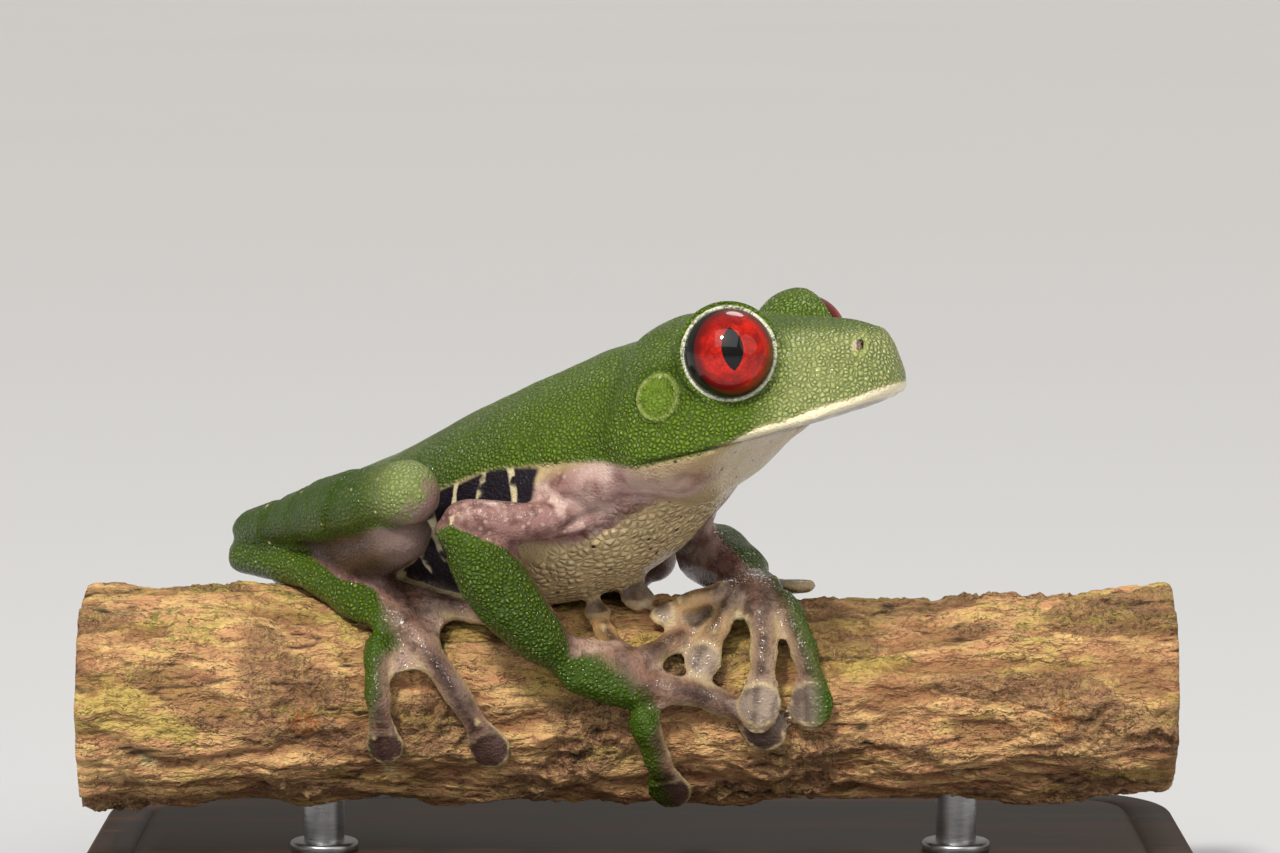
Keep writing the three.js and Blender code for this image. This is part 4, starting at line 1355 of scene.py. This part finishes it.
def skinColours(add, look, seen, field, greenShare):
    # every tint laid over the cream underside, each inside its own broken border
    patch, pores, handed = seen["patch"], seen["pores"], field["digits"]
    darkLine = add("times", field["middleLine"], add("ease", seen["mottle"], 0.3, 0.5, 0.5, 0.95))
    edges = add("most", add("times", field["brim"], 0.8), add("times", field["fringe"], 0.9))
    roughCloud = add("cloud", seen["place"], 1900.0, 2.0)
    return layered(
        (add, look),
        creamTints(add, look, seen, field),
        (border(add, field["lilac"], patch, 0.8, 1.2), lilacTints(add, look, seen, field)),
        (border(add, field["flank"], patch, 0.25, 0.8), flankTints(add, look, seen)),
        (add("times", field["inner"], 0.85), "inner"),
        (add("times", border(add, field["pad"], patch, 0.35, 0.4), 0.9), padTints(add, look, seen, field)),
        # painted shade in the creases of hands and feet
        (add("times", field["hollow"], handed, 0.45), "handDark"),
        (darkLine, "handDark"),
        (add("times", edges, add("ease", patch, 0.3, 0.55, 0.6, 1.0)), "edge"),
        (greenShare, greenTints(add, look, seen, field)),
        (add("times", border(add, field["knob"], roughCloud, 0.3, 2.6), 0.75), "knuckle"),
        (border(add, field["chin"], pores, 0.15, 0.1), "chin"),
        (border(add, field["lipStripe"], pores, 0.07, 0.12), "lip"),
        (border(add, field["lidRim"], pores, 0.05, 0.02), "rim"),
        (add("times", field["ring"], 0.5), "ringPale"),
        (add("times", field["nostrilPale"], 0.9), "nostrilPale"),
        # painted shade in the nostrils and along the mouth
        (field["dark"], "nostril"),
    )


def skinRelief(add, seen, field, greenShare):
    # granules stand up where the skin is green or on the belly, and elsewhere it has a fine leathery grain
    bare = add("less", 1.0, greenShare)
    rounded = add("times", add("ease", seen["granules"], 0.6, 0.0), 0.75)
    packed = add("sum", add("times", add("ease", seen["gaps"], 0.0, 0.25), 0.45), rounded)
    lowLegs = add("ease", field["legs"], 0.0, 1.0, 1.0, 0.5)
    lowHands = add("ease", field["digits"], 0.6, 1.0, 1.0, 0.5)
    domes = add("times", packed, greenShare, lowLegs, lowHands)
    bellyDomes = add("times", add("ease", seen["bellyGaps"], 0.0, 0.2), 0.6)
    bellyDomes = add("sum", bellyDomes, add("ease", seen["bellyCells"], 0.65, 0.0))
    cobbles = add("times", bellyDomes, field["belly"], bare, 1.5)
    grain = add("times", add("ease", seen["leather"], 0.7, 0.1), bare, 0.17)
    return add("sum", domes, cobbles, grain, add("times", seen["pores"], 0.12))


def makeSkinMaterial():
    # moist living skin: packed granules that each catch the light, soft colour under a thin wet film
    material, add = newMaterial("moistFrogSkin")
    look = lookOf(skinLook)
    seen = skinPatterns(add, look)
    field = {name: add("field", attribute_name=name) for name in skinFields}
    # the green's border is soft, softest on the hands, and breaks up in patches over the knees
    softly = add("ease", field["digits"], 0.6, 1.0, 0.3, 0.95)
    softly = add("sum", softly, add("times", field["knees"], 0.9))
    inGreen = add("sum", field["green"], add("line", seen["granules"], -0.12, 0.05))
    inGreen = add("sum", inGreen, add("times", add("line", seen["mottle"], 5.0, -2.5), field["knees"]))
    greenShare = add("ease", add("over", inGreen, softly), -1.0, 1.0)
    gloss = add("ease", seen["pores"], 0.3, 0.7, 0.26, 0.38)
    bumpy = add("bump", skinRelief(add, seen, field, greenShare), 1.0, look["relief"])
    surface = {
        "Base Color": skinColours(add, look, seen, field, greenShare),
        "Roughness": add("less", gloss, add("times", field["digits"], 0.1)),
        "IOR": 1.4,
        "Specular IOR Level": 0.25,
        "Normal": bumpy,
        "Coat Normal": bumpy,
        "Subsurface Weight": 0.08,
        "Subsurface Radius": (1.0, 0.45, 0.25),
        "Subsurface Scale": 0.0005,
        "Coat Weight": 0.4,
        "Coat Roughness": 0.12,
    }
    return surfaced(material, add, surface)


frogSkin.data.materials.append(makeSkinMaterial())
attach(frogSkin, "root")
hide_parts(*fleshNodes)
print("skin finished")

# the eyes, in millimetres
eyeball = {
    "segments": 160,
    "rings": 110,
    "radius": 3.45,
    "bulge": 0.06,
    "irisMiddle": (0.2, 0.08),  # forward and up from where the eye looks
    "irisSize": (3.02, 3.2),
    "pupilSize": (0.8, 1.62),
    "pupilMiddle": (-0.12, 0.2),
    "pupilTilt": -5,
    "red": "#cc1d0c",
    "redDark": "#8f0d06",
    "vein": "#4f0505",
    "limb": "#5a0606",
    "ballDark": "#07080b",  # the rim of the ball outside the iris
    "black": "#020203",
}


def makeEyeMaterial():
    # a wet cornea over a red iris: mirror-smooth coat, fine darker veins under it
    material, add = newMaterial("wetRedEye")
    look = lookOf(eyeball)
    place = add("place")
    bent = add("moved", place, add("scaled", add("cloudTint", place, 1300.0, 3.0), 0.0006))
    veins = add("times", add("ease", add("cellGaps", bent, 2300.0), 0.09, 0.0), 0.5)
    cloud = add("cloud", place, 700.0, 5.0)
    iris = add("field", attribute_name="iris")
    inPupil = border(add, add("field", attribute_name="pupil"), cloud, 0.03, 0.02)
    red = layered((add, look), look["redDark"], (add("ease", cloud, 0.38, 0.66), "red"), (veins, "vein"))
    red = add("mix", add("ease", iris, 0.0, 0.9), look["limb"], red)
    tints = (border(add, iris, cloud, 0.04, 0.03), red), (inPupil, "black")
    surface = {
        "Base Color": layered((add, look), look["ballDark"], *tints),
        "Roughness": 0.4,
        "IOR": 1.376,
        "Specular IOR Level": 0.15,
        "Coat Weight": 1.0,
        "Coat Roughness": 0.02,
        "Coat IOR": 1.376,
    }
    return surfaced(material, add, surface)


def makeEye(side, material):
    look = eyeLook(side)
    centre = eyeMiddles[side]
    turn = Vector(look).to_track_quat("Z", "Y").to_euler()
    bpy.ops.mesh.primitive_uv_sphere_add(
        segments=eyeball["segments"],
        ring_count=eyeball["rings"],
        radius=eyeball["radius"] * mm,
        location=centre * mm,
        rotation=turn,
    )
    ball = bpy.context.object
    ball.name = "eye" + side.capitalize()
    settle(ball)
    bpy.ops.object.shade_smooth()
    points = pointsOf(ball)
    upSide = unit(upward - look * (upward @ look))
    foreSide = np.cross(upSide, look) * sideSign[side]
    apart = points - centre
    level = apart @ look
    # the cornea stands a little proud of the ball
    swell = eyeball["bulge"] * eased(level, 1.2, 3.2)
    points = points + apart / eyeball["radius"] * swell[:, None]
    movePoints(ball, points)
    fore = apart @ foreSide
    high = apart @ upSide
    front = level > 0
    middle, size = eyeball["irisMiddle"], eyeball["irisSize"]
    iris = size[0] * (1 - np.hypot((fore - middle[0]) / size[0], (high - middle[1]) / size[1]))
    writeField(ball, "iris", np.where(front, iris, -1))
    # the pupil is where two round arcs overlap, upright with pointed ends
    half, tall = eyeball["pupilSize"]
    arc = (half * half + tall * tall) / (2 * half)
    lean = math.radians(eyeball["pupilTilt"])
    fore, high = fore - eyeball["pupilMiddle"][0], high - eyeball["pupilMiddle"][1]
    across = fore * math.cos(lean) - high * math.sin(lean)
    tallWay = fore * math.sin(lean) + high * math.cos(lean)
    pupil = arc - np.hypot(np.abs(across) + arc - half, tallWay)
    writeField(ball, "pupil", np.where(front, pupil, -1))
    ball.data.materials.append(material)
    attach(ball, "root")
    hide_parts("eye_" + side)


eyeMaterial = makeEyeMaterial()
for side in eyeMiddles:
    makeEye(side, eyeMaterial)
print("eyes made")

# the branch's bark, in millimetres
bark = {
    "left": -43.7,
    "right": 41.8,
    "around": 210,
    "rows": 350,
    "endRows": 12,
    "plate": 0.62,  # height of the flaking layers
    "swell": 0.3,
    "crumbs": 1.4,
    "groove": 0.55,
    "heights": (-0.75, 0.5),  # the lowest and highest bark
    "gripReach": 1.2,  # where the frog is this near, the bark keeps just under its skin
    "gripGap": 0.05,
    "seed": 1795386990,  # holds the sway of the grain still, because it would differ in each run without one
    "sawnDepth": 0.12,
    "pithDepth": 0.25,
}


def barkRelief(x, y, z):
    # thin layers that flake along the branch, lengthwise fissures, a few cross cracks and crumbly patches
    sway = noise.noise_vector(Vector((x / 11, y / 6, z / 6)))
    spot = Vector((x / 6.2 + sway.x * 0.6, y / 2.1 + sway.y, z / 2.1 + sway.z))
    steps = 4.2
    layers = steps * noise.fractal(spot, 0.85, 2.1, 5)
    step = math.floor(layers)
    rise = (step + max(0.0, (layers - step - 0.7) / 0.3)) / steps
    furrow = noise.ridged_multi_fractal(Vector((x / 12, y / 1.5, z / 1.5)), 0.9, 2.2, 3, 1.0, 2.0)
    crack = max(0.0, furrow - 1.35)
    across = abs(noise.noise(Vector((x / 5, y / 21, z / 21))) + 0.04 * sway.z)
    broken = noise.noise(Vector((x / 13, y / 7, z / 7)) + Vector((9, 4, 2))) > 0.08
    crack = max(crack, 0.16 * max(0.0, 1 - across / 0.012) if broken else 0.0)
    crumbly = max(0.0, noise.noise(Vector((x / 8, y / 3.4, z / 3.4)) + Vector((3, 8, 5))) + 0.02)
    crumbs = crumbly * noise.fractal(Vector((x, y, z)) / 1.0, 0.7, 2.2, 3)
    swell = noise.noise(Vector((x / 9, y / 3.4, z / 3.4)) + Vector((5, 1, 7)))
    height = bark["plate"] * rise + bark["crumbs"] * crumbs - bark["groove"] * crack + bark["swell"] * swell
    return height, rise, crack, crumbly


def makeBranch():
    noise.seed_set(bark["seed"])
    rows = bark["rows"]
    around = bark["around"]
    lying = (0, math.pi / 2, 0)
    bpy.ops.mesh.primitive_uv_sphere_add(segments=around, ring_count=rows, radius=1, rotation=lying)
    log = bpy.context.object
    log.name = "branchBark"
    settle(log)
    raw = pointsOf(log) * mm
    # each ring of the ball becomes a ring of the branch, and the rings near the poles make its cut ends
    latitude = np.arccos(np.clip(raw[:, 0], -1, 1)) / math.pi * rows
    row = np.round(latitude)
    turn = np.arctan2(-raw[:, 1], raw[:, 2])
    ends = bark["endRows"]
    share = np.clip((row - ends) / (rows - 2 * ends), 0, 1)
    x = bark["right"] + (bark["left"] - bark["right"]) * share
    fromEnd = np.minimum(row, rows - row)
    size = np.clip(fromEnd / ends, 0, 1)
    isCut = fromEnd < ends
    shape = overBark(x, turn, 0)
    heights, plates, cracks, crumbly = np.array([barkRelief(*place) for place in shape]).T
    heights = np.clip(heights - 0.05, *bark["heights"])
    skinFaces = [p.vertices for p in frogSkin.data.polygons]
    fleshTree = BVHTree.FromPolygons([v.co for v in frogSkin.data.vertices], skinFaces)
    farthest = 2 * bark["gripReach"]
    grip = [fleshTree.find_nearest(Vector(p * mm), farthest * mm)[3] for p in shape]
    grip = np.array([farthest if g is None else g / mm for g in grip])
    held = np.minimum(heights, grip - bark["gripGap"])
    heights = np.where(grip < bark["gripReach"], held, heights)
    rim = 1 - 0.025 * ridge(fromEnd - ends, 1.2)
    middle = overBark(x, turn, -branchRadius(x, turn))
    reach = (branchRadius(x, turn) + heights)[:, None] * rim[:, None] * size[:, None] ** 0.9
    outward = shape - middle
    outward /= np.maximum(np.linalg.norm(outward, axis=1), 1e-9)[:, None]
    points = middle + outward * reach
    # the saw's cut is nearly flat, with the pith a little sunk
    sawn = np.array([noise.noise(Vector((p[0], p[1] * 1.8, p[2] * 0.7))) for p in points]) * 0.08
    sunk = bark["sawnDepth"] + sawn + bark["pithDepth"] * (1 - size) ** 3
    points[:, 0] += np.where(isCut, -np.sign(x) * sunk, 0)
    movePoints(log, points)
    alone(log)
    bpy.ops.object.mode_set(mode="EDIT")
    bpy.ops.mesh.select_all(action="SELECT")
    bpy.ops.mesh.normals_make_consistent(inside=False)
    bpy.ops.object.mode_set(mode="OBJECT")
    bpy.ops.object.shade_smooth()
    fields = {
        "plate": plates,
        "crack": cracks,
        "crumbly": crumbly,
        "cut": isCut & (size <= 0.93),
        "fromPith": size * 8,
        "top": (points[:, 2] - branch["axisHeight"]) / 8,
    }
    for name, values in fields.items():
        writeField(log, name, values)
    return log


barkLook = {
    "pinkBrown": "#d39c70",
    "tan": "#efc786",
    "deepBrown": "#845637",
    # near-black of the fissures and pits, partly painted shade
    "crack": "#26160e",
    "olive": "#bfae52",
    "moss": "#6f7a2b",
    "lichen": "#dcd09a",
    "crumb": "#d2a27a",
    "rust": "#b96f30",
    "wood": "#d9bb8d",
    "ring": "#b78f5e",
}


def makeBarkMaterial():
    # weathered bark: thin layers that end in fine dark lines, pinkish brown with an olive film and moss
    material, add = newMaterial("flakingBark")
    look = lookOf(barkLook)
    place = add("place")
    ragged = add("moved", place, add("scaled", add("cloudTint", place, 520.0, 5.0), 0.0012))
    lengthwise = add("turned", ragged, (0, 0, 0), (0.27, 1, 1))
    names = ("top", "crumbly", "plate", "crack", "cut", "fromPith")
    top, crumbly, plate, crack, cut, fromPith = (add("field", attribute_name=name) for name in names)

    # layers: a stretched field cut into steps, each with a thin dark edge
    broadSteps = add("fraction", add("times", add("cloud", lengthwise, 270.0, 6.0, 0.6), 10.0))
    fineSteps = add("fraction", add("times", add("cloud", lengthwise, 800.0, 5.0, 0.6), 7.0))
    fineLines = add("times", add("ease", fineSteps, 0.2, 0.0), 0.5)
    lines = add("most", add("ease", broadSteps, 0.15, 0.0), fineLines)
    streak = add("cloud", lengthwise, 1200.0, 5.0, 0.65)
    patch = add("cloud", place, 130.0, 5.0, 0.55)
    grit = add("cloud", place, 2600.0, 4.0, 0.7)
    pits = add("cloud", ragged, 1100.0, 4.0, 0.65)
    crumbly = add("ease", crumbly, 0.05, 0.25)

    olive = add("sum", add("cloud", lengthwise, 300.0, 4.0, 0.55), add("times", top, 0.07))
    moss = add("sum", add("cloud", place, 260.0, 6.0, 0.75), add("times", top, 0.06))
    lichens = add("times", sparseDots(add, place, 160.0, 0.16, 0.72), add("ease", grit, 0.4, 0.55), 0.7)
    rusty = add("times", sparseDots(add, place, 120.0, 0.2, 0.8), add("ease", grit, 0.42, 0.56), 0.8)
    brown = layered(
        (add, look),
        look["pinkBrown"],
        (add("ease", streak, 0.35, 0.66), "tan"),
        (add("times", add("ease", olive, 0.5, 0.64), 0.7), "olive"),
        (add("times", add("ease", patch, 0.48, 0.34), 0.35), "deepBrown"),
        (add("times", add("ease", plate, 0.0, -0.5), 0.6), "deepBrown"),
        (add("times", crumbly, add("ease", grit, 0.45, 0.6)), "crumb"),
        # pits in the crumbly patches darkened, partly painted shade
        (add("times", crumbly, add("ease", pits, 0.44, 0.38), 0.45), "crack"),
        (add("times", add("ease", grit, 0.53, 0.66), 0.4), "deepBrown"),
        (add("times", lines, 0.7), "deepBrown"),
        (add("times", lines, add("ease", patch, 0.35, 0.55), 0.75), "crack"),
        (add("times", add("ease", moss, 0.6, 0.68), add("ease", grit, 0.35, 0.6), 0.8), "moss"),
        (lichens, "lichen"),
        (rusty, "rust"),
        # the fissures darkened, partly painted shade
        (add("times", add("ease", crack, 0.03, 0.3), 0.9), "crack"),
    )
    # the sawn ends show growth rings, uneven as in a real branch
    uneven = add("times", add("cloud", place, 260.0, 3.0), 9.0)
    rings = add("sine", add("sum", add("times", fromPith, 11.0), uneven))
    wood = add("mix", add("ease", rings, -1.0, 1.0), look["wood"], look["ring"])
    wood = add("mix", add("times", add("ease", grit, 0.5, 0.65), 0.4), wood, look["ring"])
    gritty = add("times", grit, add("ease", crumbly, 0.0, 1.0, 0.4, 1.6))
    lumps = add("times", crumbly, add("ease", pits, 0.35, 0.65), 1.3)
    height = add("sum", broadSteps, add("times", fineSteps, 0.35), add("times", streak, 0.4), gritty, lumps)
    height = add("times", height, add("ease", cut, 0.0, 1.0, 1.0, 0.12))
    surface = {
        "Base Color": add("mix", cut, brown, wood),
        "Roughness": add("ease", grit, 0.3, 0.7, 0.75, 0.92),
        "Normal": add("bump", height, 1.0, 0.00042),
    }
    return surfaced(material, add, surface)


branchBark = makeBranch()
branchBark.data.materials.append(makeBarkMaterial())
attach(branchBark, "root")
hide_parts("perch")
print("branch made:", len(branchBark.data.vertices), "points")

# the display stand, in millimetres
plinth = {
    "corner": 9.0,
    "bevel": 0.8,
    "groove": 2.4,
    "grooveWidth": 0.5,
    "grooveDepth": 0.35,
    "dark": "#1e130d",
    "light": "#4a2f1f",
    "pore": "#120b07",
}
rod = {
    "radius": 1.6,
    "collar": 2.7,
    "collarHeight": 0.9,
    "collarBevel": 0.3,
    "sides": 48,
    "steel": "#9a9da1",
    "steelLight": "#c6c9cc",
}


def selectEdges(thing, wanted):
    # selects in edit mode the edges whose two ends both satisfy wanted
    bpy.ops.mesh.select_all(action="DESELECT")
    bpy.ops.mesh.select_mode(type="EDGE")
    bpy.ops.object.mode_set(mode="OBJECT")
    for edge in thing.data.edges:
        a, b = (thing.data.vertices[i].co / mm for i in edge.vertices)
        edge.select = wanted(a, b)
    bpy.ops.object.mode_set(mode="EDIT")


def makePlinth():
    low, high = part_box("stand_base")
    bpy.ops.mesh.primitive_cube_add(size=1, location=(low + high) / 2, scale=high - low)
    block = bpy.context.object
    block.name = "standPlinth"
    settle(block)
    bpy.ops.object.mode_set(mode="EDIT")
    selectEdges(block, lambda a, b: abs(a.z - b.z) > 1)
    bpy.ops.mesh.bevel(offset=plinth["corner"] * mm, segments=14, affect="EDGES")
    top = high.z / mm
    selectEdges(block, lambda a, b: a.z > top - 0.01 and b.z > top - 0.01)
    bpy.ops.mesh.bevel(offset=plinth["bevel"] * mm, segments=5, affect="EDGES")
    selectEdges(block, lambda a, b: a.z < 0.01 and b.z < 0.01)
    bpy.ops.mesh.bevel(offset=plinth["bevel"] * mm * 0.6, segments=3, affect="EDGES")
    # a fine routed line runs round the top
    bpy.ops.mesh.select_mode(type="FACE")
    bpy.ops.mesh.select_all(action="DESELECT")
    bpy.ops.object.mode_set(mode="OBJECT")
    for panel in block.data.polygons:
        panel.select = panel.normal.z > 0.99 and panel.area > 1e-3
    bpy.ops.object.mode_set(mode="EDIT")
    bpy.ops.mesh.inset(thickness=plinth["groove"] * mm)
    bpy.ops.mesh.inset(thickness=plinth["grooveWidth"] * mm)
    bpy.ops.mesh.inset(thickness=plinth["grooveWidth"] * mm)
    bpy.ops.object.mode_set(mode="OBJECT")
    points = pointsOf(block)
    flatTop = points[:, 2] > top - 0.001
    inset = plinth["bevel"] + plinth["groove"] + plinth["grooveWidth"]
    box = np.array(high) / mm - np.array((inset, inset, 0))
    corner = plinth["corner"] - inset
    reachX = np.maximum(np.abs(points[:, 0]) - (box[0] - corner), 0)
    reachY = np.maximum(np.abs(points[:, 1]) - (box[1] - corner), 0)
    onLine = flatTop & (np.abs(np.hypot(reachX, reachY) - corner) < 0.2)
    points[onLine, 2] -= plinth["grooveDepth"]
    movePoints(block, points)
    alone(block)
    bpy.ops.object.shade_smooth_by_angle(angle=math.radians(35))
    return block


def makePlinthMaterial():
    # stained walnut under satin lacquer: long dark grain, fine pores, soft shine
    material, add = newMaterial("stainedWalnut")
    look = lookOf(plinth)
    stretched = add("turned", add("place"), (0, 0, 0), (0.06, 1, 1))
    grain = add("cloud", stretched, 420.0, 6.0, inputs={"Distortion": 0.6})
    pores = add("cloud", stretched, 3800.0, 2.0)
    inPores = add("times", add("ease", pores, 0.62, 0.7), 0.6)
    tints = (add("ease", grain, 0.35, 0.68), "light"), (inPores, "pore")
    surface = {
        "Base Color": layered((add, look), look["dark"], *tints),
        "Roughness": add("ease", grain, 0.0, 1.0, 0.42, 0.55),
        "Normal": add("bump", pores, 0.25, 0.00008),
        "Specular IOR Level": 0.2,
    }
    return surfaced(material, add, surface)


def makeRod(node, material):
    # a steel rod with a turned collar where it leaves the plinth
    low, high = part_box(node)
    centre = (low + high) / 2
    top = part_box("stand_base")[1].z
    sides, height = rod["sides"], rod["collarHeight"] * mm
    radius = rod["radius"] * mm
    bpy.ops.mesh.primitive_cylinder_add(vertices=sides, radius=radius, depth=high.z - low.z, location=centre)
    post = bpy.context.object
    collarAt = (centre.x, centre.y, top + height / 2 - 0.1 * mm)  # let a little into the plinth
    radius = rod["collar"] * mm
    bpy.ops.mesh.primitive_cylinder_add(vertices=sides, radius=radius, depth=height, location=collarAt)
    collar = bpy.context.object
    bevel = collar.modifiers.new("turned", "BEVEL")
    bevel.width = rod["collarBevel"] * mm
    bevel.segments = 4
    applyAll(collar)
    alone(post, collar)
    bpy.ops.object.join()
    post = bpy.context.object
    post.name = node.replace("stand_rod_", "standRod")
    settle(post)
    bpy.ops.object.shade_smooth_by_angle(angle=math.radians(40))
    post.data.materials.append(material)
    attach(post, "root")
    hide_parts(node)


def makeSteelMaterial():
    # turned steel: fine rings from the lathe, bright and slightly streaked
    material, add = newMaterial("turnedSteel")
    look = lookOf(rod)
    brush = add("cloud", add("turned", add("place"), (0, 0, 0), (0.1, 0.1, 1)), 9000.0, 2.0)
    surface = {
        "Base Color": add("mix", brush, look["steel"], look["steelLight"]),
        "Metallic": 1.0,
        "Roughness": add("ease", brush, 0.0, 1.0, 0.24, 0.4),
        "Normal": add("bump", brush, 0.3, 0.00003),
    }
    return surfaced(material, add, surface)


standPlinth = makePlinth()
standPlinth.data.materials.append(makePlinthMaterial())
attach(standPlinth, "root")
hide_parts("stand_base")
steel = makeSteelMaterial()
for node in ("stand_rod_1", "stand_rod_2"):
    makeRod(node, steel)
print("stand made")
